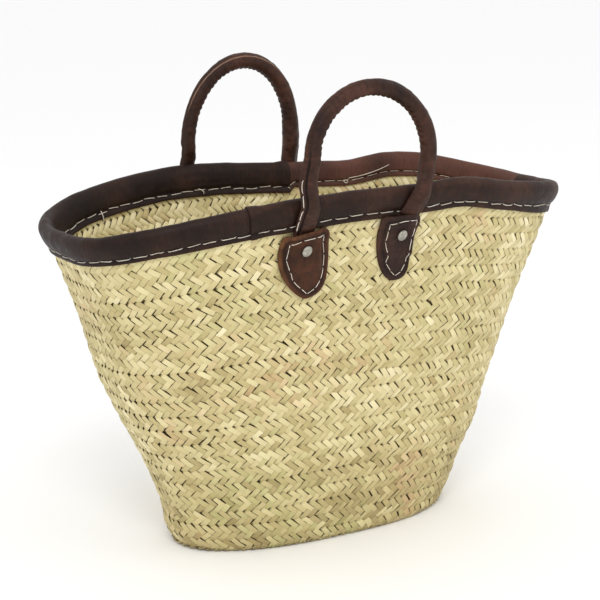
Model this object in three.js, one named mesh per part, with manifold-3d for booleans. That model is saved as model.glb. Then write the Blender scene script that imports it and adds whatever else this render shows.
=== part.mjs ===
// Woven market basket: a plaited palm-leaf body, a rolled leather rim and two leather handles.
// Millimetres, +Z up. The origin is under the middle of the base, +X runs along the basket and
// the front is -Y. "Left" and "right" are as seen from the front.
import * as THREE from 'three';
import { mergeVertices } from 'three/addons/utils/BufferGeometryUtils.js';
import Module from 'manifold-3d';

const wasm = await Module();
wasm.setup();

// ---------------------------------------------------------------- driving dimensions
const GAP = 0.3;                 // clearance between pieces that touch

const RIM_LENGTH = 520;          // over the leather roll
const RIM_DEPTH = 268;
const RIM_HEIGHT = 352;          // top of the roll at the middle of the long sides
const RIM_DROOP = 26;            // how much lower the roll is at the two ends
const RIM_SQUARENESS = 3.1;      // exponent of the rim's superellipse, 2 being an ellipse
const ROLL_HALF_WIDTH = 7.5;     // leather roll around the rope, across the rim
const ROLL_HALF_HEIGHT = 10;
const ROLL_LEATHER = 1.8;
const FLANGE_REACH = 28;         // from the top of the roll down to the leather's outer edge
const INNER_FLANGE_REACH = 33;   // and down to its inner edge
const FRONT_JOINT_X = -134;      // where the two rim leathers meet, front and back
const BACK_JOINT_X = 51;

const BASE_LENGTH = 300;
const BASE_DEPTH = 142;
const BASE_SQUARENESS = 2.2;
const BASE_THICKNESS = 6;
const BASE_EDGE_INSET = 6;       // the underside is this much smaller all round
const WALL_THICKNESS = 5;
const WALL_HOLLOW = 0.09;        // how far the wall's profile sags inwards of a straight line
const FOOT_TUCK = 5;             // the wall's foot curls in by this much
const FOOT_HEIGHT = 12;

const TUBE_RADIUS = 7.5;         // handle leather over its rope
const TUBE_LEATHER = 2;
const HINGE_HEIGHT = 363;        // where the standing handle bends when it is tipped over
const HINGE_Y = 138;             // distance of the handle's plane from the middle
const LEG_END_WIDTH = 20;        // the flattened leather under the patch
const LEG_END_THICKNESS = 4.4;
const PATCH_THICKNESS = 2.4;
const PATCH_CORNER = 9;
const RIVET_SHANK_RADIUS = 2;
const RIVET_HEAD_RADIUS = 5;
const RIVET_HEAD_HEIGHT = 1.8;
const BURR_RADIUS = 4.5;         // the washer at a rivet's other end, let into the wall
const BURR_THICKNESS = 1.2;

// How far a patch reaches from its rivet, as you face it. Its bottom point lies tip to the right
// of the rivet. Its top rises by slant to the right. Its left edge swells by bulge, its right one
// is drawn in by waist, and each comes down to the bottom as full as its own share says.
const BROAD_PATCH = {
  left: 23.5, right: 25, top: 15.5, bottom: 49, tip: 2.5, slant: 2.5,
  bulge: 10, waist: 0, fullLeft: 0.3, fullRight: 1 };
const WAISTED_PATCH = {
  left: 21.5, right: 21.5, top: 17, bottom: 46.5, tip: -0.5, slant: 0,
  bulge: 6.5, waist: 13.5, fullLeft: 0.55, fullRight: 1.15 };

// The arch is a half circle on two legs, leaning along the basket by archLean for each unit of
// height. Each leg passes its hinge and ends at its rivet. Legs are listed left to right.
const HANDLES = [
  { name: 'front', side: -1, archX: -13, archHeight: 383, archRadius: 61, archLean: 0,
    hingeX: [-78, 45], rivetX: [-76.4, 22.7], rivetHeight: [304, 308.3],
    patches: [BROAD_PATCH, WAISTED_PATCH] },
  { name: 'back', side: 1, archX: -2, archHeight: 391, archRadius: 59, archLean: 0.07,
    hingeX: [-61, 57], rivetX: [-61, 57], rivetHeight: [303, 303],
    patches: [WAISTED_PATCH, BROAD_PATCH] },
];

const ROUND_STEPS = 60;          // facets around the body

// ---------------------------------------------------------------- materials
const leather = (name) => new THREE.MeshStandardMaterial(
  { name, color: 0x4a2e2a, roughness: 0.6, metalness: 0 });
const PALM = new THREE.MeshStandardMaterial(
  { name: 'palm_leaf', color: 0xdccd9c, roughness: 0.75, metalness: 0 });
const ROPE = new THREE.MeshStandardMaterial(
  { name: 'rope', color: 0xb9a077, roughness: 0.9, metalness: 0 });
const RIM_LEATHER = leather('rim_leather');
const HANDLE_LEATHER = leather('handle_leather');
const PATCH_LEATHER = new THREE.MeshStandardMaterial(
  { name: 'patch_leather', color: 0x5a3426, roughness: 0.65, metalness: 0 });
const STEEL = new THREE.MeshStandardMaterial(
  { name: 'rivet_steel', color: 0xb4b2a8, roughness: 0.4, metalness: 0.9 });

// ---------------------------------------------------------------- solids
// Joins rings of points into one closed body. The rings have equally many points. Either the
// last ring joins the first, or the two end rings are filled with a fan each.
function ringSolid(rings, looped) {
  const count = rings[0].length;
  const points = rings.flat();
  const faces = [];
  const joins = looped ? rings.length : rings.length - 1;
  for (let r = 0; r < joins; r++) {
    const here = r * count;
    const next = ((r + 1) % rings.length) * count;
    for (let i = 0; i < count; i++) {
      const j = (i + 1) % count;
      faces.push(here + i, here + j, next + j, here + i, next + j, next + i);
    }
  }
  if (!looped) {
    for (const [ring, flip] of [[0, true], [rings.length - 1, false]]) {
      const middle = new THREE.Vector3();
      rings[ring].forEach((point) => middle.add(point));
      points.push(middle.divideScalar(count));
      for (let i = 0; i < count; i++) {
        const pair = [ring * count + i, ring * count + ((i + 1) % count)];
        if (flip) pair.reverse();
        faces.push(...pair, points.length - 1);
      }
    }
  }
  const geometry = new THREE.BufferGeometry().setFromPoints(points);
  geometry.setIndex(faces);
  return facingOut(geometry);
}

// Turns the faces over if the body they close has a negative volume.
function facingOut(geometry) {
  const position = geometry.attributes.position;
  const index = geometry.index.array;
  const [a, b, c] = [new THREE.Vector3(), new THREE.Vector3(), new THREE.Vector3()];
  let volume = 0;
  for (let i = 0; i < index.length; i += 3) {
    [a, b, c].forEach((corner, k) => corner.fromBufferAttribute(position, index[i + k]));
    volume += a.dot(b.cross(c));
  }
  if (volume < 0) geometry.setIndex(Array.from(index).reverse());
  return geometry;
}

function toSolid(geometry) {
  const bare = geometry.clone();
  bare.deleteAttribute('normal');
  bare.deleteAttribute('uv');
  const merged = mergeVertices(bare, 1e-4);
  return new wasm.Manifold(new wasm.Mesh({
    numProp: 3,
    vertProperties: new Float32Array(merged.attributes.position.array),
    triVerts: new Uint32Array(merged.index.array),
  }));
}

function toGeometry(solid) {
  const mesh = solid.getMesh();
  const geometry = new THREE.BufferGeometry();
  geometry.setAttribute('position', new THREE.BufferAttribute(mesh.vertProperties, 3));
  geometry.setIndex(new THREE.BufferAttribute(mesh.triVerts, 1));
  return geometry;
}

function piece(name, geometry, material, parent) {
  const mesh = new THREE.Mesh(geometry, material);
  mesh.name = name;
  parent.add(mesh);
  return mesh;
}

// ---------------------------------------------------------------- the body's shape
function superEllipse(length, depth, squareness, turn) {
  const reach = (value) => Math.sign(value) * Math.abs(value) ** (2 / squareness);
  return new THREE.Vector2(
    (length / 2) * reach(Math.cos(turn)), (depth / 2) * reach(Math.sin(turn)));
}

// How far the sloping wall spreads from the middle of the roll up to its top.
const spreadOver = (rim, base) => (rim - base) / RIM_HEIGHT * ROLL_HALF_HEIGHT;

const SIDE_MIDDLE = {            // the wall's middle surface at the rim and at the foot
  rimLength: RIM_LENGTH - 2 * ROLL_HALF_WIDTH + spreadOver(RIM_LENGTH, BASE_LENGTH),
  rimDepth: RIM_DEPTH - 2 * ROLL_HALF_WIDTH + spreadOver(RIM_DEPTH, BASE_DEPTH),
  footLength: BASE_LENGTH - WALL_THICKNESS,
  footDepth: BASE_DEPTH - WALL_THICKNESS,
};
const FOOT_START = BASE_THICKNESS + GAP;

function rollTop(x) {
  return RIM_HEIGHT - RIM_DROOP * (2 * x / SIDE_MIDDLE.rimLength) ** 2;
}

// A point of the wall's middle surface: turn goes round the body, rise from 0 at the foot to
// 1 at the top of the roll.
function wallPoint(turn, rise) {
  const rim = superEllipse(SIDE_MIDDLE.rimLength, SIDE_MIDDLE.rimDepth, RIM_SQUARENESS, turn);
  const foot = superEllipse(SIDE_MIDDLE.footLength, SIDE_MIDDLE.footDepth, BASE_SQUARENESS, turn);
  const height = FOOT_START + (rollTop(rim.x) - FOOT_START) * rise;
  const outwards = rise - WALL_HOLLOW * rise * (1 - rise);
  const place = foot.clone().lerp(rim, outwards);
  const tuck = FOOT_TUCK * Math.exp(-(height - FOOT_START) / FOOT_HEIGHT);
  place.multiplyScalar(1 - tuck / foot.length());
  return new THREE.Vector3(place.x, place.y, height);
}

// The directions at a point of the wall: along the basket's girth, up the wall and outwards.
function wallFrame(turn, rise) {
  const step = 1e-3;
  const along = wallPoint(turn + step, rise).sub(wallPoint(turn - step, rise)).normalize();
  const up = wallPoint(turn, rise).sub(wallPoint(turn, rise - step)).normalize();
  const out = new THREE.Vector3().crossVectors(along, up).normalize();
  up.crossVectors(out, along).normalize();
  return { origin: wallPoint(turn, rise), along, up, out };
}

// The wall at a given x and height on the front (side -1) or the back (side 1).
function wallAt(x, height, side) {
  let low = 0;
  let high = Math.PI;
  let turn = 0;
  let rise = 0;
  for (let i = 0; i < 40; i++) {
    turn = (low + high) / 2;
    const top = wallPoint(turn, 1).z;
    rise = (height - FOOT_START) / (top - FOOT_START);
    if (wallPoint(turn, rise).x > x) low = turn;
    else high = turn;
  }
  return wallFrame(side * turn, rise);
}

// Turns that space the facets evenly along the rim, starting at a given turn.
function evenTurns(from, to, count) {
  const fine = 720;
  const turns = [];
  const lengths = [0];
  for (let i = 0; i <= fine; i++) {
    turns.push(from + (to - from) * i / fine);
    if (i > 0) {
      lengths.push(lengths[i - 1] + wallPoint(turns[i], 1).distanceTo(wallPoint(turns[i - 1], 1)));
    }
  }
  const chosen = [];
  for (let i = 0, k = 0; i <= count; i++) {
    const wanted = lengths[fine] * i / count;
    while (k < fine && lengths[k] < wanted - 1e-9) k++;
    chosen.push(turns[k]);
  }
  return chosen;
}

// Where on the rim an x lies, as a turn.
function rimTurn(x, side) {
  const reach = Math.abs(2 * x / SIDE_MIDDLE.rimLength) ** (RIM_SQUARENESS / 2);
  return side * Math.acos(Math.sign(x) * reach);
}

const FRONT_JOINT = rimTurn(FRONT_JOINT_X, -1);
const BACK_JOINT = rimTurn(BACK_JOINT_X, 1);
const rightSpan = BACK_JOINT - FRONT_JOINT;
const RIGHT_STEPS = Math.round(ROUND_STEPS * 0.6);
const RIGHT_TURNS = evenTurns(FRONT_JOINT, BACK_JOINT, RIGHT_STEPS);
const LEFT_TURNS = evenTurns(
  BACK_JOINT, BACK_JOINT + 2 * Math.PI - rightSpan, ROUND_STEPS - RIGHT_STEPS);
const ALL_TURNS = [...RIGHT_TURNS.slice(0, -1), ...LEFT_TURNS.slice(0, -1)];

// A point beside the rim: out across the roll, up from the roll's top.
function rimPoint(turn, out, up) {
  const frame = wallFrame(turn, 1);
  return frame.origin.addScaledVector(frame.out, out).addScaledVector(frame.up, up);
}

// ---------------------------------------------------------------- body pieces
function baseMat() {
  const levels = [[-BASE_EDGE_INSET, 0], [-1.5, BASE_THICKNESS * 0.4], [0, BASE_THICKNESS]];
  const rings = levels.map(([inset, height]) => ALL_TURNS.map((turn) => {
    const edge = superEllipse(
      BASE_LENGTH - 2 * FOOT_TUCK + 2 * inset, BASE_DEPTH - 2 * FOOT_TUCK + 2 * inset,
      BASE_SQUARENESS, turn);
    return new THREE.Vector3(edge.x, edge.y, height);
  }));
  return ringSolid(rings, false);
}

const WALL_TOP_DROP = 2 * ROLL_HALF_HEIGHT - ROLL_LEATHER;   // the wall ends under the rope
const WALL_LEVELS = [0, 0.03, 0.08, 0.2, 0.4, 0.6, 0.8];

function wallPlait() {
  const outer = [];
  const inner = [];
  for (const rise of WALL_LEVELS) {
    const side = (offset) => ALL_TURNS.map((turn) => {
      const frame = wallFrame(turn, Math.max(rise, 1e-3));
      const point = frame.origin.addScaledVector(frame.out, offset);
      if (rise === 0) point.z = FOOT_START;
      return point;
    });
    outer.push(side(WALL_THICKNESS / 2));
    inner.push(side(-WALL_THICKNESS / 2));
  }
  for (const drop of [INNER_FLANGE_REACH, WALL_TOP_DROP]) {
    outer.push(ALL_TURNS.map((turn) => rimPoint(turn, WALL_THICKNESS / 2, -drop)));
    inner.push(ALL_TURNS.map((turn) => rimPoint(turn, -WALL_THICKNESS / 2, -drop)));
  }
  return ringSolid([...outer, ...inner.reverse()], true);
}

function ovalPoint(halfWidth, halfHeight, middle, angle) {
  return [halfWidth * Math.sin(angle), middle + halfHeight * Math.cos(angle)];
}

function rimRope() {
  const sides = 8;               // its corners lie under the bends of the leather
  const halfWidth = ROLL_HALF_WIDTH - ROLL_LEATHER - GAP;
  const halfHeight = ROLL_HALF_HEIGHT - ROLL_LEATHER - GAP;
  const rings = ALL_TURNS.map((turn) => Array.from({ length: sides }, (_, i) => rimPoint(
    turn, ...ovalPoint(halfWidth, halfHeight, -ROLL_HALF_HEIGHT, 2 * Math.PI * i / sides))));
  return ringSolid(rings, true);
}

// The leather's section: over the rope, then down both faces of the wall.
function bindingSection() {
  const bends = [-0.75, -0.5, -0.25, 0, 0.25, 0.5, 0.75].map((part) => part * Math.PI);
  const inside = WALL_THICKNESS / 2 + GAP;
  const outside = inside + ROLL_LEATHER;
  const outer = bends.map((angle) => ovalPoint(
    ROLL_HALF_WIDTH, ROLL_HALF_HEIGHT, -ROLL_HALF_HEIGHT, angle));
  const inner = bends.map((angle) => ovalPoint(
    ROLL_HALF_WIDTH - ROLL_LEATHER, ROLL_HALF_HEIGHT - ROLL_LEATHER, -ROLL_HALF_HEIGHT, angle));
  const flange = (across) => [across, across > 0 ? -FLANGE_REACH : -INNER_FLANGE_REACH];
  const neck = (across) => [across, -WALL_TOP_DROP - 1];
  return [
    flange(-outside), neck(-outside), ...outer, neck(outside), flange(outside),
    flange(inside), neck(inside), ...inner.reverse(), neck(-inside), flange(-inside),
  ];
}

function rimBinding(turns) {
  const trimmed = [...turns];
  const inch = (from, to) => from + (to - from) * 0.03;      // leaves a gap at the joints
  trimmed[0] = inch(turns[0], turns[1]);
  trimmed[turns.length - 1] = inch(turns.at(-1), turns.at(-2));
  const section = bindingSection();
  const rings = trimmed.map((turn) => section.map(([out, up]) => rimPoint(turn, out, up)));
  return stripSolid(rings, section);
}

// A closed body from open-ended rings whose section isn't convex: the ends are filled as shapes.
function stripSolid(rings, section) {
  const outline = section.map(([out, up]) => new THREE.Vector2(out, up));
  const ends = THREE.ShapeUtils.triangulateShape(outline, []);
  const count = outline.length;
  const faces = [];
  for (let r = 0; r + 1 < rings.length; r++) {
    for (let i = 0; i < count; i++) {
      const [a, b] = [r * count + i, r * count + ((i + 1) % count)];
      faces.push(a, b, b + count, a, b + count, a + count);
    }
  }
  const last = (rings.length - 1) * count;
  const way = Math.sign(THREE.ShapeUtils.area(outline));
  for (const corners of ends) {
    const turned = corners.slice();
    if (Math.sign(THREE.ShapeUtils.area(corners.map((k) => outline[k]))) !== way) {
      turned.reverse();
    }
    faces.push(...turned.map((corner) => corner + last));
    faces.push(...turned.reverse());
  }
  const geometry = new THREE.BufferGeometry().setFromPoints(rings.flat());
  geometry.setIndex(faces);
  return facingOut(geometry);
}

// ---------------------------------------------------------------- handle pieces
// Where a leg's middle is at a height: from its rivet to its hinge.
function legX(handle, leg, height) {
  const foot = handle.rivetHeight[leg];
  const part = (height - foot) / (HINGE_HEIGHT - foot);
  return handle.rivetX[leg] + (handle.hingeX[leg] - handle.rivetX[leg]) * part;
}

function archPath(handle) {
  const points = [];
  const at = (x, z) => points.push(new THREE.Vector3(x, 0, z));
  const below = TUBE_RADIUS + 4;
  const ends = [-1, 1].map((way, leg) => {
    const foot = new THREE.Vector2(handle.hingeX[leg], HINGE_HEIGHT);
    const spring = new THREE.Vector2(
      handle.archX + way * handle.archRadius, handle.archHeight);
    return foot.clone().addScaledVector(spring.sub(foot).normalize(), -below);
  });
  at(ends[0].x, ends[0].y);
  at(handle.hingeX[0], HINGE_HEIGHT);
  const bends = 10;
  for (let i = 0; i <= bends; i++) {
    const angle = Math.PI * (1 - i / bends);
    const rise = handle.archRadius * Math.sin(angle);
    at(handle.archX + handle.archRadius * Math.cos(angle) + handle.archLean * rise,
      handle.archHeight + rise);
  }
  at(handle.hingeX[1], HINGE_HEIGHT);
  at(ends[1].x, ends[1].y);
  return new THREE.CatmullRomCurve3(points, false, 'centripetal');
}

function disc(radius, hole) {
  const shape = new THREE.Shape().absarc(0, 0, radius, 0, 2 * Math.PI, false);
  if (hole) shape.holes.push(new THREE.Path().absarc(0, 0, hole, 0, 2 * Math.PI, true));
  return shape;
}

// What an arch keeps when its ends are rounded about the hinge line, so that it can turn.
function aboveHinge() {
  const wide = 400;
  const above = new THREE.BoxGeometry(wide, wide, wide);
  above.translate(0, 0, HINGE_HEIGHT + wide / 2);
  const round = new THREE.CylinderGeometry(TUBE_RADIUS, TUBE_RADIUS, wide - 2, 20);
  round.rotateZ(Math.PI / 2);
  round.translate(0, 0, HINGE_HEIGHT);
  return toSolid(above).add(toSolid(round));
}

function arch(handle, shape) {
  const tube = new THREE.ExtrudeGeometry(
    shape, { extrudePath: archPath(handle), steps: 24, curveSegments: 5, bevelEnabled: false });
  return toGeometry(toSolid(tube).intersect(aboveHinge()));
}

const LEG_PAST_RIVET = 14;       // how far the leg's flat end reaches below its rivet
const FLANGE_STEP = 2.5;         // height in which the leg climbs onto the rim's leather

// The leg over the rim's roll, from low to high: how far below the roll's top it is, how far its
// near face stands off the wall's middle, and its section.
const OVER_ROLL = [
  { drop: 18, standOff: 6.7, thick: 7, wide: 19 },
  { drop: 10, standOff: 8.2, thick: 9, wide: 18 },
  { drop: 3, standOff: 6.7, thick: 12, wide: 16.5 },
];

// The leather below the hinge: round at the top, pressed over the rim roll, flat at the rivet.
// Each station is a height, how far its near face stands off the wall's middle, and its section.
function legStations(top, rivetHeight) {
  const onWall = WALL_THICKNESS / 2 + GAP;
  const onFlange = onWall + ROLL_LEATHER + GAP;
  const flat = { thick: LEG_END_THICKNESS, wide: LEG_END_WIDTH };
  const round = 2 * TUBE_RADIUS;
  const flangeEdge = top - FLANGE_REACH - GAP;
  return [
    { height: rivetHeight - LEG_PAST_RIVET, standOff: onWall, ...flat },
    { height: flangeEdge - FLANGE_STEP, standOff: onWall, ...flat },
    { height: flangeEdge, standOff: onFlange, ...flat },
    ...OVER_ROLL.map(({ drop, ...section }) => ({ height: top - drop, ...section })),
    { height: HINGE_HEIGHT - TUBE_RADIUS - GAP, plane: HINGE_Y, thick: round, wide: round },
  ];
}

function legSleeve(handle, leg) {
  const sides = 12;
  const top = rollTop(legX(handle, leg, RIM_HEIGHT));
  const ring = (station, inset) => {
    const x = legX(handle, leg, station.height);
    const wall = wallAt(x, Math.min(station.height, top - 2), handle.side);
    const outwards = station.plane
      ?? Math.abs(wall.origin.y) + station.standOff + station.thick / 2;
    return Array.from({ length: sides }, (_, i) => {
      const angle = 2 * Math.PI * i / sides;
      return new THREE.Vector3(
        x + (station.wide / 2 - inset) * Math.cos(angle),
        handle.side * outwards + (station.thick / 2 - inset) * Math.sin(angle),
        station.height);
    });
  };
  const stations = legStations(top, handle.rivetHeight[leg]);
  const outer = stations.map((station) => ring(station, 0));
  const hollow = stations.slice(-OVER_ROLL.length).reverse();
  const inner = hollow.map((station) => ring(station, TUBE_LEATHER));
  return ringSolid([...outer, ...inner], false);
}

// A shield outline around the rivet: a flat top and sides drawn in to a round bottom.
function shieldOutline(patch) {
  const { left, right, top, bottom, tip, slant, bulge, waist, fullLeft, fullRight } = patch;
  const shape = new THREE.Shape();
  const topRight = top + slant;
  const middle = -0.45 * bottom;
  shape.moveTo(-left + PATCH_CORNER, top);
  shape.lineTo(right - PATCH_CORNER, topRight);
  shape.quadraticCurveTo(right, topRight, right, topRight - PATCH_CORNER);
  shape.bezierCurveTo(right - waist, middle, tip + fullRight * right, -bottom, tip, -bottom);
  shape.bezierCurveTo(
    tip - fullLeft * left, -bottom, -left - bulge, middle, -left, top - PATCH_CORNER);
  shape.quadraticCurveTo(-left, top, -left + PATCH_CORNER, top);
  return shape.getSpacedPoints(18).slice(0, -1);
}

const smooth = THREE.MathUtils.smoothstep;

// A sheet of leather with a rivet hole, whose lower face has a height over each of its points.
// spread says how far out from the hole to the outline each ring of points lies.
function leatherSheet(outline, thickness, spread, heightAt) {
  const hole = RIVET_SHANK_RADIUS + GAP;
  const face = (part, lift) => outline.map((edge) => {
    const start = edge.clone().setLength(hole);
    const place = start.lerp(edge, part);
    return new THREE.Vector3(place.x, place.y, heightAt(place.x, place.y) + lift);
  });
  const upper = spread.map((part) => face(part, thickness));
  const lower = spread.slice().reverse().map((part) => face(part, 0));
  return ringSolid([...upper, ...lower], true);
}

const CURVE_ALLOWANCE = 0.6;     // the wall curves a little under a flat sheet
const OVER_WALL = WALL_THICKNESS / 2 + GAP + CURVE_ALLOWANCE;
const OVER_FLANGE = OVER_WALL + ROLL_LEATHER + GAP;
const LEG_CLEARANCE = 0.8;       // the leg isn't quite flat under the patch
const OVER_LEG = WALL_THICKNESS / 2 + 2 * GAP + LEG_END_THICKNESS + LEG_CLEARANCE;
const BESIDE_LEG = [3.5, 9.5];   // from the leg's edge, where the patch comes down beside it
const BELOW_LEG = [4, 12];       // and from its end, where it comes down below

// The patch lies on the wall, climbs over the rim's leather at its top and over the leg.
function patchHeight(x, y) {
  const fromEdge = Math.abs(x) - LEG_END_WIDTH / 2;
  const acrossLeg = 1 - smooth(fromEdge, ...BESIDE_LEG);
  const alongLeg = 1 - smooth(-y - LEG_PAST_RIVET, ...BELOW_LEG);
  const beside = OVER_WALL + (OVER_FLANGE - OVER_WALL) * smooth(y, 2, 11);
  const onLeg = OVER_LEG + ROLL_LEATHER * smooth(y, 4, 14);
  return beside + (onLeg - beside) * acrossLeg * alongLeg;
}

function rivet() {
  const under = OVER_LEG + PATCH_THICKNESS + GAP;
  const end = -WALL_THICKNESS / 2;
  const profile = [
    [0, end], [RIVET_SHANK_RADIUS, end], [RIVET_SHANK_RADIUS, under], [RIVET_HEAD_RADIUS, under],
    [RIVET_HEAD_RADIUS - 0.4, under + RIVET_HEAD_HEIGHT * 0.4],
    [RIVET_HEAD_RADIUS * 0.6, under + RIVET_HEAD_HEIGHT * 0.85],
    [0, under + RIVET_HEAD_HEIGHT],
  ].map(([radius, height]) => new THREE.Vector2(radius, height));
  return new THREE.LatheGeometry(profile, 12).rotateX(Math.PI / 2);
}

function burr() {
  const inner = -WALL_THICKNESS / 2;
  const outer = inner + BURR_THICKNESS;
  const bore = RIVET_SHANK_RADIUS + GAP;
  const profile = [
    [bore, outer], [bore, inner], [BURR_RADIUS, inner], [BURR_RADIUS, outer], [bore, outer],
  ].map(([radius, height]) => new THREE.Vector2(radius, height));
  return new THREE.LatheGeometry(profile, 12).rotateX(Math.PI / 2);
}

// What the rivet needs cut away: its bore, and the seat of its washer in the wall's inner face.
function rivetBore() {
  const radius = RIVET_SHANK_RADIUS + GAP;
  return new THREE.CylinderGeometry(radius, radius, 60, 12).rotateX(Math.PI / 2);
}

function burrSeat() {
  const radius = BURR_RADIUS + GAP;
  const depth = 2 * BURR_THICKNESS;
  const seat = new THREE.CylinderGeometry(radius, radius, depth, 12).rotateX(Math.PI / 2);
  return seat.translate(0, 0, -WALL_THICKNESS / 2 + BURR_THICKNESS + GAP - depth / 2);
}

// A group whose x runs along the wall, y up it and z out of it, at a leg's rivet.
function rivetPlace(handle, leg) {
  const wall = wallAt(handle.rivetX[leg], handle.rivetHeight[leg], handle.side);
  const place = new THREE.Group();
  place.position.copy(wall.origin);
  place.setRotationFromMatrix(new THREE.Matrix4().makeBasis(wall.along, wall.up, wall.out));
  return place;
}

// ---------------------------------------------------------------- assembly
const basket = new THREE.Group();
basket.name = 'market_basket';

piece('base_mat', baseMat(), PALM, basket);
piece('rim_rope', rimRope(), ROPE, basket);
piece('rim_binding_right', rimBinding(RIGHT_TURNS), RIM_LEATHER, basket);
piece('rim_binding_left', rimBinding(LEFT_TURNS), RIM_LEATHER, basket);

let wall = toSolid(wallPlait());
for (const handle of HANDLES) {
  const bow = new THREE.Group();
  bow.position.y = handle.side * HINGE_Y;
  basket.add(bow);
  const sleeve = arch(handle, disc(TUBE_RADIUS, TUBE_RADIUS - TUBE_LEATHER));
  const rope = arch(handle, disc(TUBE_RADIUS - TUBE_LEATHER - GAP));
  piece(`${handle.name}_handle_sleeve`, sleeve, HANDLE_LEATHER, bow);
  piece(`${handle.name}_handle_rope`, rope, ROPE, bow);

  for (const [leg, sideName] of ['left', 'right'].entries()) {
    const place = rivetPlace(handle, leg);
    basket.add(place);
    basket.updateMatrixWorld(true);
    const bore = toSolid(rivetBore().applyMatrix4(place.matrixWorld));
    const seat = toSolid(burrSeat().applyMatrix4(place.matrixWorld));
    wall = wall.subtract(bore).subtract(seat);
    const sleeveEnd = toGeometry(toSolid(legSleeve(handle, leg)).subtract(bore));
    const named = (what) => `${handle.name}_${sideName}_${what}`;
    piece(named('leg'), sleeveEnd, HANDLE_LEATHER, basket);
    piece(named('patch'), leatherSheet(
      shieldOutline(handle.patches[leg]), PATCH_THICKNESS, [0, 0.3, 0.55, 0.78, 1],
      patchHeight), PATCH_LEATHER, place);
    piece(named('rivet'), rivet(), STEEL, place);
    piece(named('burr'), burr(), STEEL, place);
  }
}
piece('wall_plait', toGeometry(wall), PALM, basket);

export default basket;
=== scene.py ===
"""Woven market basket: plaited palm leaf, a rolled leather rim and two stitched leather handles.

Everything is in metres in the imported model's frame: +X along the basket, -Y the front, +Z up.
"""
import math

import bpy
import numpy as np
from mathutils import Matrix, Vector


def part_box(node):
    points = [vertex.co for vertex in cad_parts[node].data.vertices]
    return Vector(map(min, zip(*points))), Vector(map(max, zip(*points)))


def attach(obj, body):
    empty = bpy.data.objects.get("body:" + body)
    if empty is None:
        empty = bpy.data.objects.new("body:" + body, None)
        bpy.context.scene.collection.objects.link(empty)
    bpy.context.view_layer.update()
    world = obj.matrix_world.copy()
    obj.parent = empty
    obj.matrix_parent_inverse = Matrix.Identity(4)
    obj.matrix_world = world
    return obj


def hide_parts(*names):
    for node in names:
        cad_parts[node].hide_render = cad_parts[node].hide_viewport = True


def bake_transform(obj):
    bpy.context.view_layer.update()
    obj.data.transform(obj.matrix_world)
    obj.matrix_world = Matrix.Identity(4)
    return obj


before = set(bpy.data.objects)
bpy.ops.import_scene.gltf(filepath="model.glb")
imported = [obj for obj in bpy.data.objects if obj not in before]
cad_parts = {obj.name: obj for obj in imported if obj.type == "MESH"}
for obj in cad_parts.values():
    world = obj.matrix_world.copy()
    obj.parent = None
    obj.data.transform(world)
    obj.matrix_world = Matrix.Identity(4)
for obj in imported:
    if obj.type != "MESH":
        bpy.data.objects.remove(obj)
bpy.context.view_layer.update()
MM = 0.001

# ------------------------------------------------------------------ sizes taken from the frame
RIM_LOW, RIM_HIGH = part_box("rim_binding_right")
BASE_LOW, BASE_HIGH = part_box("base_mat")
RIM_HALF_LENGTH = RIM_HIGH.x
RIM_HALF_DEPTH = RIM_HIGH.y
RIM_TOP = RIM_HIGH.z
RIM_DROOP = 26 * MM                 # the ends of the rim are this much lower than its middle
RIM_SQUARENESS = 3.1                # superellipse exponents of the rim and of the base
BASE_SQUARENESS = 2.2
ROLL_HALF_WIDTH = 7.5 * MM          # the leather roll, across and up
ROLL_HALF_HEIGHT = 10 * MM
FLANGE_REACH = 28 * MM              # from the top of the roll to the leather's outer lower edge
INNER_FLANGE_REACH = 33 * MM        # and to its inner lower edge
OUTER_STITCH = 22.5 * MM            # where the rim's thread runs, below the top of the roll
INNER_STITCH = 26.5 * MM
FRONT_JOINT_X = -128 * MM           # where the two rim leathers lap
BACK_JOINT_X = 39 * MM
PINCH = 4.6 * MM                    # how far the stitched line stands off the wall's middle
WALL_HALF = 2.5 * MM
WALL_HOLLOW = 0.09
FOOT_TUCK = 5 * MM
FOOT_HEIGHT = 12 * MM
FOOT_START = BASE_HIGH.z + 0.3 * MM
FOOT_HALF_LENGTH = BASE_HIGH.x + FOOT_TUCK - WALL_HALF
FOOT_HALF_DEPTH = BASE_HIGH.y + FOOT_TUCK - WALL_HALF
END_SPREAD = (RIM_HALF_LENGTH - BASE_HIGH.x) / RIM_TOP * ROLL_HALF_HEIGHT
SIDE_SPREAD = (RIM_HALF_DEPTH - BASE_HIGH.y) / RIM_TOP * ROLL_HALF_HEIGHT
TOP_HALF_LENGTH = RIM_HALF_LENGTH - ROLL_HALF_WIDTH + 2 * END_SPREAD
TOP_HALF_DEPTH = RIM_HALF_DEPTH - ROLL_HALF_WIDTH + 2 * SIDE_SPREAD
RIM_TILT = 4.6 * MM                 # the right end stands higher than the left
END_SAG = 3 * MM                    # and both ends sag a little more close to their tips

# Where the two ends bulge, each as (which end, how far out, at what height, how tall), in mm.
END_SWELLS = [(-1, 7, 12, 20), (-1, 8, 160, 60), (1, 4, 90, 25)]

HINGE_HEIGHT = 363 * MM             # where a handle bends
HINGE_OFFSET = 138 * MM             # and how far that is in front of or behind the middle
RIVET_HEIGHT = 304                  # mm, about where the patches hang
LEGS = ("left", "right")
TUBE_RADIUS = 7.5 * MM
PATCH_THICKNESS = 2.6 * MM
PATCH_CORNER = 9 * MM

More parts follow.
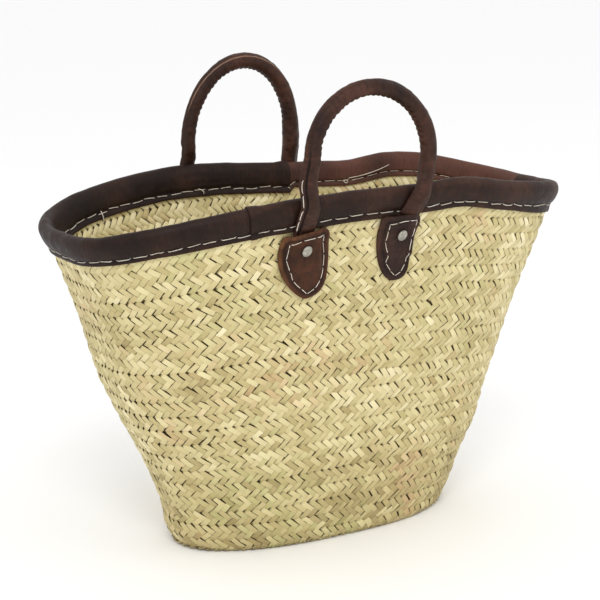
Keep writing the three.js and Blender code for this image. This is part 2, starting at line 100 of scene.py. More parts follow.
# How far a patch reaches from its rivet, as you face it, in millimetres. Its bottom point lies
# tip to the right of the rivet. Its top rises by slant to the right. Its left edge swells by
# bulge, its right one runs straight for shoulder and is then drawn in by waist, and each comes
# down as full as its own share says.
BROAD_PATCH = dict(left=23.5, right=25, top=15.5, bottom=49, tip=2.5, slant=2.5,
                   bulge=8.5, waist=0, shoulder=0, full_left=0.3, full_right=1)
WAISTED_PATCH = dict(left=21.5, right=21.5, top=19, bottom=46.5, tip=-0.5, slant=0,
                     bulge=5, waist=13.5, shoulder=4, full_left=0.55, full_right=1.15)

# Legs are listed left to right as seen from the front. All in millimetres.
HANDLES = [
    dict(name="front", side=-1, arch_x=-13, arch_height=383, radius=61, arch_rise=61, lean=0,
         half_widths=(7.5, 7.5),
         hinge_x=(-78, 45), rivet_x=(-76.4, 22.7), patches=(BROAD_PATCH, WAISTED_PATCH)),
    dict(name="back", side=1, arch_x=-1, arch_height=373, radius=59.5, arch_rise=77, lean=0.07,
         half_widths=(6.8, 8.8),
         hinge_x=(-60, 58.5), rivet_x=(-61, 57), patches=(WAISTED_PATCH, BROAD_PATCH)),
]


# ------------------------------------------------------------------ small tools
def srgb(red, green, blue):
    """A colour given as 0 to 255 on a screen, as the linear numbers that shaders use."""
    parts = []
    for value in (red, green, blue):
        share = value / 255
        parts.append(share / 12.92 if share <= 0.04045 else ((share + 0.055) / 1.055) ** 2.4)
    return (*parts, 1.0)


def smoothstep(low, high, value):
    share = np.clip((value - low) / (high - low), 0, 1)
    return share * share * (3 - 2 * share)


def unit(vectors):
    return vectors / np.maximum(np.linalg.norm(vectors, axis=-1, keepdims=True), 1e-12)


def hash_noise(cells, seed):
    """A number from 0 to 1 for each cell, the same on every run."""
    mixed = np.sin(cells @ np.array([127.1, 311.7, 74.7]) + seed * 17.17) * 43758.5453
    return mixed - np.floor(mixed)


def noise(points, scale, seed=0):
    """Smooth noise from -1 to 1 at points, which are (..., 3); scale is cells per metre."""
    place = np.asarray(points) * scale
    low = np.floor(place)
    part = place - low
    part = part * part * (3 - 2 * part)
    total = np.zeros(place.shape[:-1])
    for corner in range(8):
        step = np.array([corner & 1, corner >> 1 & 1, corner >> 2 & 1])
        weight = np.prod(np.where(step == 1, part, 1 - part), axis=-1)
        total += weight * hash_noise(low + step, seed)
    return 2 * total - 1


def mesh_piece(name, points, faces, material):
    """A mesh object from an (n, 3) array of points and a list of (m, 3 or 4) face arrays."""
    mesh = bpy.data.meshes.new(name)
    groups = [np.asarray(group, np.int32) for group in faces if len(group)]
    corners = np.concatenate([group.ravel() for group in groups])
    sizes = np.concatenate([np.full(len(group), group.shape[1], np.int32) for group in groups])
    mesh.vertices.add(len(points))
    mesh.vertices.foreach_set("co", np.asarray(points, np.float32).ravel())
    mesh.loops.add(len(corners))
    mesh.loops.foreach_set("vertex_index", corners)
    mesh.polygons.add(len(sizes))
    mesh.polygons.foreach_set("loop_start", np.concatenate([[0], np.cumsum(sizes)[:-1]]))
    mesh.polygons.foreach_set("loop_total", sizes)
    mesh.polygons.foreach_set("use_smooth", np.full(len(sizes), True))
    mesh.update(calc_edges=True)
    mesh.materials.append(material)
    piece = bpy.data.objects.new(name, mesh)
    bpy.context.scene.collection.objects.link(piece)
    return piece


def columns(*values):
    """Values of matching or spreading shapes, as one row for each point."""
    return np.stack(np.broadcast_arrays(*values), -1).reshape(-1, len(values))


def shares(*values):
    """The same, held between 0 and 1."""
    return np.clip(columns(*values), 0, 1)


def paint(piece, name, values):
    """Stores a colour for each point, which the material reads by name."""
    layer = piece.data.color_attributes.new(name, "FLOAT_COLOR", "POINT")
    rgba = np.ones((len(values), 4), np.float32)
    rgba[:, :3] = values
    layer.data.foreach_set("color", rgba.ravel())


def lay_uv(piece, coordinates):
    """Gives each corner the (u, v) of its point."""
    layer = piece.data.uv_layers.new(name="leaf")
    corner = np.zeros(len(piece.data.loops), np.int32)
    piece.data.loops.foreach_get("vertex_index", corner)
    layer.data.foreach_set("uv", np.asarray(coordinates, np.float32)[corner].ravel())


def grid_faces(rows, columns, closed_rows=False, closed_columns=False):
    """Quads over points laid out row by row."""
    r = np.arange(rows if closed_rows else rows - 1)
    c = np.arange(columns if closed_columns else columns - 1)
    r, c = [part.ravel() for part in np.meshgrid(r, c, indexing="ij")]
    r2, c2 = (r + 1) % rows, (c + 1) % columns
    return np.stack([r * columns + c, r * columns + c2, r2 * columns + c2, r2 * columns + c], 1)


# ------------------------------------------------------------------ materials
class Nodes:
    """Builds a material's node tree with short calls."""

    def __init__(self, name):
        self.material = bpy.data.materials.new(name)
        self.material.use_nodes = True
        self.tree = self.material.node_tree
        self.shader = self.tree.nodes["Principled BSDF"]

    def add(self, kind, settings=None, **inputs):
        node = self.tree.nodes.new(kind)
        for key, value in (settings or {}).items():
            setattr(node, key, value)
        for key, value in inputs.items():
            self.put(node.inputs[key.replace("_", " ")], value)
        return node

    def put(self, socket, value):
        if isinstance(value, bpy.types.NodeSocket):
            self.tree.links.new(value, socket)
        else:
            socket.default_value = value

    def set(self, **inputs):
        for key, value in inputs.items():
            self.put(self.shader.inputs[key.replace("_", " ")], value)

    def math(self, operation, first, second=0.0):
        node = self.add("ShaderNodeMath", {"operation": operation})
        self.put(node.inputs[0], first)
        self.put(node.inputs[1], second)
        return node.outputs[0]

    def mix(self, factor, first, second, blend="MIX"):
        node = self.add("ShaderNodeMix", {"data_type": "RGBA", "blend_type": blend})
        self.put(node.inputs[0], factor)
        self.put(node.inputs[6], first)
        self.put(node.inputs[7], second)
        return node.outputs[2]

    def ramp(self, value, *stops):
        node = self.add("ShaderNodeValToRGB")
        self.put(node.inputs[0], value)
        elements = node.color_ramp.elements
        while len(elements) < len(stops):
            elements.new(0.5)
        for element, (position, color) in zip(elements, stops):
            element.position = position
            element.color = color
        return node.outputs[0]

    def place(self, scale=(1, 1, 1), uv=None):
        source = (self.add("ShaderNodeUVMap", {"uv_map": uv}).outputs[0] if uv
                  else self.add("ShaderNodeTexCoord").outputs["Object"])
        mapping = self.add("ShaderNodeMapping", Vector=source)
        mapping.inputs["Scale"].default_value = scale
        return mapping.outputs[0]

    def noise(self, vector, scale, detail=3.0, roughness=0.55):
        return self.add("ShaderNodeTexNoise", Vector=vector, Scale=scale, Detail=detail,
                        Roughness=roughness).outputs[0]

    def bump(self, height, strength, distance, before=None):
        node = self.add("ShaderNodeBump", Height=height, Strength=strength, Distance=distance)
        if before is not None:
            self.put(node.inputs["Normal"], before)
        return node.outputs[0]

    def channels(self, name):
        color = self.add("ShaderNodeVertexColor", {"layer_name": name}).outputs[0]
        return self.add("ShaderNodeSeparateColor", Color=color).outputs


def palm_leaf():
    """Dry palm leaf: straw with darker, pinker and greener strands, and fine fibres along them."""
    n = Nodes("palm_leaf")
    tone, tint, shade = n.channels("leaf")[:3]
    straw = n.ramp(
        tone, (0.0, srgb(168, 152, 108)), (0.35, srgb(206, 193, 143)),
        (0.7, srgb(228, 216, 168)), (1.0, srgb(248, 238, 200)))
    pink = n.ramp(tint, (0.72, (0, 0, 0, 1)), (1.0, (1, 1, 1, 1)))
    green = n.ramp(tint, (0.0, (1, 1, 1, 1)), (0.28, (0, 0, 0, 1)))
    color = n.mix(n.math("MULTIPLY", pink, 0.6), straw, srgb(212, 178, 138))
    color = n.mix(n.math("MULTIPLY", green, 0.5), color, srgb(192, 194, 134))
    fibres = n.noise(n.place((14, 260, 1), "leaf"), 1.0, 2.0, 0.6)
    blotch = n.noise(n.place(), 90.0, 3.0)
    streak = n.ramp(fibres, (0.34, (0.68, 0.64, 0.52, 1)), (0.6, (1, 1, 1, 1)))
    color = n.mix(0.8, color, streak, "MULTIPLY")
    color = n.mix(n.math("MULTIPLY", blotch, 0.25), color, srgb(196, 174, 120))
    # Painted shade at each float's turned-down sides and tucked ends, from the third channel
    color = n.mix(shade, color, srgb(66, 52, 26))
    n.set(Base_Color=color, Roughness=n.math("ADD", n.math("MULTIPLY", fibres, 0.2), 0.48),
          Normal=n.bump(fibres, 0.35, 0.0004))
    n.shader.inputs["Specular IOR Level"].default_value = 0.25
    return n.material


def dark_plait():
    """What shows in the slits: the strands underneath, coloured dark as painted shade."""
    n = Nodes("plait_underlayer_shade")
    fibres = n.noise(n.place((1, 1, 1)), 600.0, 3.0)
    color = n.ramp(fibres, (0.3, srgb(38, 28, 12)), (0.7, srgb(92, 74, 40)))
    n.set(Base_Color=color, Roughness=0.9, Normal=n.bump(fibres, 0.4, 0.0006))
    return n.material


# ------------------------------------------------------------------ the body's shape
def super_ellipse(half_length, half_depth, squareness, turn):
    cosine, sine = np.cos(turn), np.sin(turn)
    return np.stack([
        half_length * np.sign(cosine) * np.abs(cosine) ** (2 / squareness),
        half_depth * np.sign(sine) * np.abs(sine) ** (2 / squareness)], -1)


def back_wave(rim):
    """The back of the rim sags to the right of its handle and rises again before the end."""
    x = rim[..., 0] / MM
    sag = -8.2 * smoothstep(-110, 60, x) * smoothstep(168, 110, x)
    rise = 5 * np.exp(-((x - 200) / 45) ** 2)
    return (sag + rise) * MM * smoothstep(0, 60 * MM, rim[..., 1])


def front_wave(rim):
    """The front of the rim stands a little higher to the right of its handle."""
    rise = 5 * np.exp(-((rim[..., 0] / MM - 95) / 40) ** 2)
    return rise * MM * smoothstep(0, 60 * MM, -rim[..., 1])


def body_swell(share, height):
    """How much further out than its plain shape the wall stands, at each place."""
    total = 0 * share
    for end, amount, middle, tall in END_SWELLS:
        total = total + amount * np.maximum(end * share, 0) ** 2 * np.exp(
            -((height / MM - middle) / tall) ** 2)
    return total * MM


def wall_point(turn, rise):
    """The wall's middle surface: turn goes round, rise from 0 at the foot to 1 at the roll's top."""
    turn, rise = np.broadcast_arrays(turn, rise)
    rim = super_ellipse(TOP_HALF_LENGTH, TOP_HALF_DEPTH, RIM_SQUARENESS, turn)
    foot = super_ellipse(FOOT_HALF_LENGTH, FOOT_HALF_DEPTH, BASE_SQUARENESS, turn)
    share = rim[..., 0] / TOP_HALF_LENGTH
    top = RIM_TOP - RIM_DROOP * share ** 2
    waves = back_wave(rim) + front_wave(rim)
    lift = (RIM_TILT * share ** 3 - END_SAG * share ** 8 + waves) * smoothstep(0.4, 1, rise)
    height = FOOT_START + (top - FOOT_START) * rise + lift
    outwards = (rise - WALL_HOLLOW * rise * (1 - rise))[..., None]
    place = foot * (1 - outwards) + rim * outwards
    tuck = FOOT_TUCK * np.exp(-np.maximum(height - FOOT_START, -FOOT_START) / FOOT_HEIGHT)
    swell = body_swell(share, height)
    place = place * (1 + (swell - tuck) / np.linalg.norm(foot, axis=-1))[..., None]
    return np.concatenate([place, height[..., None]], -1)


def wall_frame(turn, rise):
    """The surface point and its directions along the girth, up the wall and outwards."""
    step = 2e-3
    along = unit(wall_point(turn + step, rise) - wall_point(turn - step, rise))
    up = unit(wall_point(turn, rise + step) - wall_point(turn, rise - step))
    out = unit(np.cross(along, up))
    return wall_point(turn, rise), along, np.cross(out, along), out


def girth(rise):
    """The turns around the wall at a height, and how far round each one is, from 0 to 1."""
    turns = np.linspace(0, 2 * np.pi, 1441)
    points = wall_point(turns, rise)
    steps = np.linalg.norm(np.diff(points, axis=0), axis=1)
    length = np.concatenate([[0], np.cumsum(steps)])
    return turns, length / length[-1], length[-1]


def on_wall(x, z, side):
    """The turn and rise where the front (side -1) or back (1) has this x and height."""
    x, z = np.broadcast_arrays(np.asarray(x, float), np.asarray(z, float))
    turn = side * np.arccos(np.clip(x / TOP_HALF_LENGTH, -0.9, 0.9))
    rise = (z - FOOT_START) / (RIM_TOP - FOOT_START)
    step = 1e-4
    for _ in range(12):
        here = wall_point(turn, rise)
        over_turn = (wall_point(turn + step, rise) - here) / step
        over_rise = (wall_point(turn, rise + step) - here) / step
        miss_x, miss_z = x - here[..., 0], z - here[..., 2]
        size = over_turn[..., 0] * over_rise[..., 2] - over_turn[..., 2] * over_rise[..., 0]
        turn = turn + (miss_x * over_rise[..., 2] - miss_z * over_rise[..., 0]) / size
        rise = rise + (miss_z * over_turn[..., 0] - miss_x * over_turn[..., 2]) / size
    return turn, rise


def smooth_path(points, count):
    """A smooth curve through points, sampled evenly along its length."""
    knots = np.asarray(points, float)
    knots = np.concatenate([[2 * knots[0] - knots[1]], knots, [2 * knots[-1] - knots[-2]]])
    t = np.linspace(0, 1, 33)[:-1, None]
    runs = []
    for a, b, c, d in zip(knots, knots[1:], knots[2:], knots[3:]):
        runs.append(b + 0.5 * t * (c - a) + t ** 2 * (a - 2.5 * b + 2 * c - 0.5 * d)
                    + t ** 3 * (1.5 * (b - c) + 0.5 * (d - a)))
    path = np.concatenate(runs + [knots[-2:-1]])
    return resample(path, count)


def resample(path, count, closed=False):
    if closed:
        path = np.concatenate([path, path[:1]])
    length = np.concatenate([[0], np.cumsum(np.linalg.norm(np.diff(path, axis=0), axis=1))])
    wanted = np.linspace(0, length[-1], count + 1)[:-1] if closed else np.linspace(
        0, length[-1], count)
    return np.stack([np.interp(wanted, length, path[:, k]) for k in range(path.shape[1])], 1)


# ------------------------------------------------------------------ plaiting
CELL = 8.0 * MM                     # strand spacing along a course
COURSES = 21                        # sewn courses from the foot to the rim leather
PLAIT_TOP = 1 - (FLANGE_REACH - 9 * MM) / (RIM_TOP - FOOT_START)
PLAIT_FOOT = -FOOT_START * 0.8 / (RIM_TOP - FOOT_START)


def float_grid(fine):
    """Points of one strand's visible float: s along it and t across it."""
    along = [-1.15, -1.0, -0.9, 0, 0.9, 1.0, 1.15] if fine else [-1.15, -0.92, 0, 0.92, 1.15]
    across = [-1, -0.86, -0.78, 0.78, 0.86, 1] if fine else [-1, -0.84, 0, 0.84, 1]
    s, t = np.meshgrid(along, across, indexing="ij")
    lip = np.abs(t) > 0.99           # the outermost points turn down, as a leaf's edge does
    return s.ravel(), t.ravel(), lip.ravel(), len(along), len(across)


def plait_course(count, leaning, fine, gape, chance):
    """One row of floats of a course, in cells: place along it, place up it (0 to 2), height, and
    painted shade at its edges.

    gape says for each float how far its sewn end is drawn narrow, which opens a slit beside it.
    """
    s, t, lip, rows, columns = float_grid(fine)
    index = np.arange(count)[:, None]
    jitter = chance.normal(0, 1, (9, count, 1))
    sewn_reach = 1 + 0.12 * (s[None, :] * (1 if leaning else -1) > 0)
    length = 0.7071 * (1.03 + 0.05 * jitter[0]) * sewn_reach
    width = 0.3536 * (1.02 - 0.05 * np.abs(jitter[1]))
    tilt = 0.075 * jitter[2] + math.pi / 4 * (1 if leaning else -1)
    sewn_end = smoothstep(-0.4, 1.0, -s)[None, :]
    narrow = 0.0 if leaning else np.clip(0.15 * gape[:, None] + 0.05 * jitter[3], 0, 0.5)
    sideways = t[None, :] * width * (1 - narrow * sewn_end) - 0.5 * narrow * width * sewn_end
    ahead = s[None, :] * length
    a = index + (0.75 if leaning else 0.25) + 0.035 * jitter[4]
    b = (0.25 if leaning else 1.25) + 0.04 * jitter[5]
    place_a = a + ahead * np.cos(tilt) - sideways * np.sin(tilt)
    place_b = b + ahead * np.sin(tilt) + sideways * np.cos(tilt)
    ends = np.abs(s)[None, :]
    height = 0.7 + 0.12 * jitter[6] + 0.14 * jitter[7] * t[None, :] + 0.12 * jitter[8] * s[None, :]
    height = height - 0.22 * ends ** 2 - 1.1 * smoothstep(0.9, 1.15, ends) - 0.6 * lip[None, :]
    # Painted shade along each float's turned-down sides and tucked ends, of random strength for each
    # edge
    edges = chance.uniform(0.15, 1.0, (4, count, 1))
    side_shade = np.where(t[None, :] > 0, edges[0], edges[1]) * lip[None, :]
    end_shade = np.where(s[None, :] > 0, edges[2], edges[3]) * smoothstep(0.9, 1.1, ends)
    dark = 0.8 * np.maximum(side_shade, end_shade)
    return place_a, place_b, height * MM, np.clip(dark, 0, 1), (s, t), (rows, columns)


def plait(name, courses, surface, cells_round, side, fine, seed):
    """Courses of twill floats laid on surface(course, share round, share up, height)."""
    chance = np.random.default_rng(seed)
    points, faces, colors, uvs = [], [], [], []
    base = 0
    for course in courses:
        count = cells_round(course)
        phase = chance.uniform(0, 1)
        worn = chance.uniform(-0.12, 0.12)
        for leaning in (False, True):
            middles = surface(course, (np.arange(count) + phase) / count, np.full(count, 0.5),
                              np.zeros(count))
            gape = smoothstep(-0.1, 0.7, noise(middles, 9, 77) + 0.4 * noise(middles, 40, 78)
                              + 0.4 * np.abs(middles[:, 0]) / RIM_HALF_LENGTH)
            a, b, height, dark, (s, t), (rows, columns) = plait_course(
                count, leaning, fine, gape, chance)
            up = np.clip(b / 2, -0.2, 1.08)
            bulge = (1 - np.abs(2 * np.clip(b / 2, 0, 1) - 1) ** 2.5) * 1.1 * MM
            place = surface(course, (a + phase) / count, up, (height + bulge - 0.6 * MM) * side)
            size = a.shape[1]
            points.append(place.reshape(-1, 3))
            middle = place.mean(1)
            broad = noise(middle, 22, 3) * 0.5 + noise(middle, 60, 4) * 0.5
            # Painted shade: the plait grows darker towards the foot
            shade_towards_foot = 0.24 * smoothstep(150 * MM, 10 * MM, middle[:, 2])
            lighter = 0.15 if side < 0 else 0
            tone = 0.51 + lighter + worn * 0.8 + 0.2 * broad - shade_towards_foot
            tone = tone + chance.normal(0, 0.14, count)
            tint = 0.5 + 0.34 * noise(middle, 16, 9) + chance.normal(0, 0.15, count)
            # The third channel is the painted shade at the floats' edges
            colors.append(shares(tone[:, None], tint[:, None], dark))
            shift = chance.uniform(0, 9, (count, 1))
            leaf = np.stack([s * 0.005 + shift, t * 0.0025 + shift * 3], -1)
            uvs.append(leaf.reshape(-1, 2))
            quads = grid_faces(rows, columns)
            if side < 0:
                quads = quads[:, ::-1]
            starts = base + np.arange(count) * size
            faces.append((quads[None] + starts[:, None, None]).reshape(-1, 4))
            base += count * size
    piece = mesh_piece(name, np.concatenate(points), [np.concatenate(faces)], PALM)
    paint(piece, "leaf", np.concatenate(colors))
    lay_uv(piece, np.concatenate(uvs))
    return piece


def course_rise(course, up):
    return PLAIT_FOOT + (PLAIT_TOP - PLAIT_FOOT) * (course + up) / COURSES


GIRTHS = [girth(course_rise(course, 0.5)) for course in range(COURSES)]


def press(place, rise):
    """From 0 in the open to 1 where leather presses the plait flat."""
    under_rim = smoothstep(FLANGE_REACH + 5 * MM, FLANGE_REACH - 2 * MM,
                           (1 - rise) * (RIM_TOP - FOOT_START))
    under = under_rim
    for handle in HANDLES:
        for x, patch in zip(handle["rivet_x"], handle["patches"]):
            middle = (patch["top"] - patch["bottom"]) / 2
            near = np.hypot((place[..., 0] / MM - x) / patch["left"],
                            (place[..., 2] / MM - RIVET_HEIGHT - middle) / patch["bottom"] * 1.35)
            beside = place[..., 1] * handle["side"] > 0
            under = np.maximum(under, smoothstep(1.12, 0.85, near) * beside)
    return under


def wall_lumps(place, rise):
    """The wall's slow unevenness, which fades out under the rim."""
    return noise(place, 14, 31) * 1.2 * MM * (1 - smoothstep(0.75, 0.9, rise))


def wall_surface(side):
    """The function that lays the plait on the wall's outer (side 1) or inner (-1) face."""
    def surface(course, around, up, height):
        turns, share, _ = GIRTHS[course]
        turn = np.interp(around % 1.0, share, turns)
        rise = course_rise(course, up)
        place, _, _, out = wall_frame(turn, rise)
        pressed = press(place, rise)
        lumps = wall_lumps(place, rise)
        height = height * (1 - 0.75 * pressed) - side * 0.2 * MM * pressed
        place = place + out * (side * WALL_HALF + height + lumps)[..., None]
        place[..., 2] = np.maximum(place[..., 2], 0.4 * MM)
        return place
    return surface


def wall_cells(course):
    return round(GIRTHS[course][2] / CELL)


def build_wall():
    bands = [range(0, 5), range(5, 9), range(9, 13), range(13, 17), range(17, 21)]
    outer = [plait(f"wall_plait_outside_{k + 1}", band, wall_surface(1), wall_cells, 1, True, 10 + k)
             for k, band in enumerate(bands)]
    halves = [range(0, 11), range(11, 21)]
    inner = [plait(f"wall_plait_inside_{k + 1}", half, wall_surface(-1), wall_cells, -1, False,
                   40 + k) for k, half in enumerate(halves)]
    for piece in outer + inner:
        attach(piece, "basket")
    # A dark shell under the plait, painted shade that shows through the slits
    turns = np.linspace(0, 2 * np.pi, 301)[:-1]
    rises = np.linspace(PLAIT_FOOT * 0.6, PLAIT_TOP, 64)
    turn, rise = np.meshgrid(turns, rises, indexing="ij")
    place, _, _, out = wall_frame(turn, rise)
    lumps = wall_lumps(place, rise)[..., None] * out
    skin = 1.2 * MM
    shell = np.concatenate([place + lumps + out * skin, (place + lumps - out * skin)[:, ::-1]], 1)
    core = mesh_piece("wall_underlayer", shell.reshape(-1, 3),
                      [grid_faces(len(turns), shell.shape[1], True, True)], UNDERLAYER_SHADE)
    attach(core, "basket")
    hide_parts("wall_plait")


# ------------------------------------------------------------------ leather and thread materials
def leather(name, dark, mid, light, gloss=0.5, crease=0.5, raw=srgb(118, 80, 46), rub_and_sheen_color=None):
    """Waxed brown leather. Its uv runs along the strip in u and across it in v, in metres.

    Its colour attribute holds lighter rubbed places, a painted sheen on the red rim strip's inner
    back, a raw cut edge and painted shade in the folds.
    """
    n = Nodes(name)
    rubbed_and_sheen, cut, fold_shade = n.channels("wear_sheen_and_shade")[:3]
    patchy = n.noise(n.place(), 28.0, 4.0, 0.6)
    grain = n.noise(n.place(), 900.0, 3.0, 0.6)
    mottle = n.noise(n.place(), 160.0, 4.0, 0.65)
    creases = n.noise(n.place((520, 60, 1), "leaf"), 1.0, 3.0, 0.6)
    tone = n.math("ADD", n.math("MULTIPLY", patchy, 0.62), n.math("MULTIPLY", mottle, 0.38))
    color = n.ramp(tone, (0.34, dark), (0.5, mid), (0.68, light))
    color = n.mix(n.math("MULTIPLY", rubbed_and_sheen, 0.6), color, rub_and_sheen_color or light)
    darker = n.ramp(creases, (0.32, (0.62, 0.58, 0.56, 1)), (0.5, (1, 1, 1, 1)))
    color = n.mix(0.7, color, darker, "MULTIPLY")
    color = n.mix(cut, color, n.mix(mottle, raw, srgb(84, 52, 32)))
    # Painted shade in the folds and grooves
    color = n.mix(fold_shade, color, srgb(16, 11, 10))
    fine = n.bump(grain, 0.25, 0.0003)
    skin = n.bump(creases, crease, 0.0009, fine)
    skin = n.bump(mottle, 0.3, 0.0009, skin)
    rough = n.ramp(mottle, (0.3, (gloss - 0.09,) * 3 + (1,)), (0.7, (gloss + 0.12,) * 3 + (1,)))
    n.set(Base_Color=color, Roughness=rough, Normal=skin)
    n.shader.inputs["Specular IOR Level"].default_value = 0.16
    return n.material


def thread_material():
    n = Nodes("waxed_thread")
    ply = n.add("ShaderNodeTexWave", {"bands_direction": "DIAGONAL"}, Vector=n.place(),
                Scale=900.0, Distortion=2.0).outputs[0]
    soil = n.noise(n.place(), 120.0, 3.0)
    color = n.ramp(soil, (0.3, srgb(196, 182, 160)), (0.62, srgb(238, 230, 216)))
    n.set(Base_Color=color, Roughness=0.75, Normal=n.bump(ply, 0.5, 0.0003))
    return n.material


def rope_material():
    n = Nodes("fibre_rope")
    strands = n.add("ShaderNodeTexWave", {"bands_direction": "DIAGONAL"}, Vector=n.place(),
                    Scale=120.0, Distortion=1.5, Detail=2.0).outputs[0]
    color = n.ramp(strands, (0.1, srgb(120, 94, 56)), (0.8, srgb(196, 172, 124)))
    n.set(Base_Color=color, Roughness=0.9, Normal=n.bump(strands, 0.6, 0.001))
    return n.material


def steel_material():
    """Dull plated steel with fine scratches and darker pitting."""
    n = Nodes("dull_steel")
    scratch = n.noise(n.place((1, 1, 12)), 700.0, 3.0, 0.7)
    pits = n.noise(n.place(), 420.0, 4.0, 0.7)
    color = n.ramp(pits, (0.3, srgb(118, 114, 104)), (0.6, srgb(176, 172, 160)))
    rough = n.ramp(scratch, (0.3, (0.38, 0.38, 0.38, 1)), (0.7, (0.62, 0.62, 0.62, 1)))
    n.set(Base_Color=color, Roughness=rough, Metallic=0.75, Normal=n.bump(pits, 0.25, 0.0004))
    return n.material


# ------------------------------------------------------------------ thread
def tube(path, radius, sides=6):
    """Points and faces of a closed round tube along a path."""
    ahead = unit(np.gradient(path, axis=0))
    guide = np.array([0.31, 0.17, 0.93])
    side = unit(np.cross(ahead, guide))
    up = np.cross(side, ahead)
    angle = np.linspace(0, 2 * np.pi, sides, endpoint=False)[:, None]
    radii = np.broadcast_to(radius, len(path)).copy()
    radii[[0, -1]] *= 0.45
    ring = side[:, None] * np.cos(angle) + up[:, None] * np.sin(angle)
    points = (path[:, None] + ring * radii[:, None, None]).reshape(-1, 3)
    ends = np.array([list(range(sides))[::-1],
                     [(len(path) - 1) * sides + k for k in range(sides)]])
    return points, grid_faces(len(path), sides, False, True), ends


def thread_piece(name, paths, radius, body="basket"):
    """All the stitches of one seam as one piece."""
    points, quads, ends = [], [], []
    base = 0
    for path in paths:
        verts, faces, caps = tube(path, radius)
        points.append(verts)
        quads.append(faces + base)
        ends.append(caps + base)
        base += len(verts)
    piece = mesh_piece(name, np.concatenate(points),
                       [np.concatenate(quads), np.concatenate(ends)], THREAD)
    if body:
        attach(piece, body)
    return piece


STITCH_SINK = 0.5 * MM              # how deep a stitch's ends go, and how high its middle stands
STITCH_RISE = 0.55 * MM


def stitches(surface, length, stitch, gap, chance, slack):
    """Paths of stitches: surface(distance, sideways, height) lays them on the leather."""
    count = max(1, round(length / (stitch + gap)))
    pitch = length / count
    paths = []
    for k in range(count):
        start = k * pitch + chance.normal(0, 0.06) * stitch
        end = start + pitch - gap * max(0.3, 1 + chance.normal(0, 0.35))
        part = np.linspace(0, 1, 7)
        to_end = np.minimum(part, 1 - part)
        away = -STITCH_SINK + (STITCH_SINK + STITCH_RISE) * smoothstep(0, 0.18, to_end)
        drift = chance.normal(0, slack) * (1 - part) + chance.normal(0, slack) * part
        drift = drift + chance.normal(0, slack * 0.6) * np.sin(np.pi * part)
        paths.append(surface(start + (end - start) * part, drift, away))
    return paths


# ------------------------------------------------------------------ rim
def rim_point(turn, out, up):
    """A point beside the rim: out across the roll and up from the roll's top, in metres."""
    place, _, above, outwards = wall_frame(turn, 1.0)
    return place + outwards * np.asarray(out)[..., None] + above * np.asarray(up)[..., None]


def rim_section():
    """The rim leather's outer face as (out, up) points, from its outer edge to its inner one."""
    bend = 0.7 * np.pi
    angle = np.linspace(bend, -bend, 27)
    stitch = np.where(angle > 0, OUTER_STITCH, INNER_STITCH)
    below = (stitch - ROLL_HALF_HEIGHT - 3.2 * MM) / -math.cos(bend)
    roll = np.stack([
        ROLL_HALF_WIDTH * np.sin(angle),
        -ROLL_HALF_HEIGHT + np.where(np.cos(angle) > 0, ROLL_HALF_HEIGHT, below) * np.cos(angle)], 1)

    def flange(side, depth, reach):
        outs = side * np.array([5.2 * MM, 5.4 * MM, 5.1 * MM, PINCH, PINCH + 0.4 * MM])
        ups = -np.array([reach, reach - 1.4 * MM, depth + 2.1 * MM, depth, depth - 1.3 * MM])
        return np.stack([outs, ups], 1)

    outer = flange(1, OUTER_STITCH, FLANGE_REACH)
    inner = flange(-1, INNER_STITCH, INNER_FLANGE_REACH)[::-1]
    return smooth_path(np.concatenate([outer, roll, inner]), 64)


def rim_turn(x, side):
    share = abs(x) / TOP_HALF_LENGTH
    return side * math.acos(math.copysign(share ** (RIM_SQUARENESS / 2), x))


def even_turns(start, end, spacing):
    """Turns from start to end, evenly spaced along the rim."""
    fine = np.linspace(start, end, 3000)
    steps = np.linalg.norm(np.diff(wall_point(fine, 1.0), axis=0), axis=1)
    length = np.concatenate([[0], np.cumsum(steps)])
    wanted = np.linspace(0, length[-1], round(length[-1] / spacing))
    return np.interp(wanted, length, fine), wanted


def rim_place(turn, out, up):
    """A point of the rim leather with its lumps and uneven edges, and the way out of it."""
    turn, out, up = np.broadcast_arrays(turn, out, up)
    spot = wall_point(turn, 1.0)
    edge = smoothstep(18 * MM, 30 * MM, -up)
    uneven = noise(spot, 16, 51) * 0.9 + noise(spot, 60, 52) * 0.5
    x, on_back = spot[..., 0], spot[..., 1] > 0
    right_back = smoothstep(BACK_JOINT_X + 8 * MM, BACK_JOINT_X + 16 * MM, x) * on_back
    shorter_out = 1.8 * smoothstep(-0.12, -0.2, x) - 4 * smoothstep(0.15, 0.21, x)
    shorter = np.where(out > 0, shorter_out, 6 * right_back)
    place = rim_point(turn, out, up + (shorter - uneven) * MM * edge)
    middle = rim_point(turn, 0 * out, 0 * up - 12 * MM)
    flat_out = np.sign(out)[..., None] * wall_frame(turn, 1.0)[3]
    away = unit(unit(place - middle) * (1 - edge)[..., None] + flat_out * edge[..., None])
    lumps = noise(place, 30, 53) * 0.7 + noise(place, 95, 54) * 0.35
    folds = np.sin(noise(place, 35, 55) * 14) * 0.18 * smoothstep(8 * MM, 22 * MM, -up)
    return place + away * ((lumps + folds) * MM * (1 - 0.6 * edge))[..., None], away


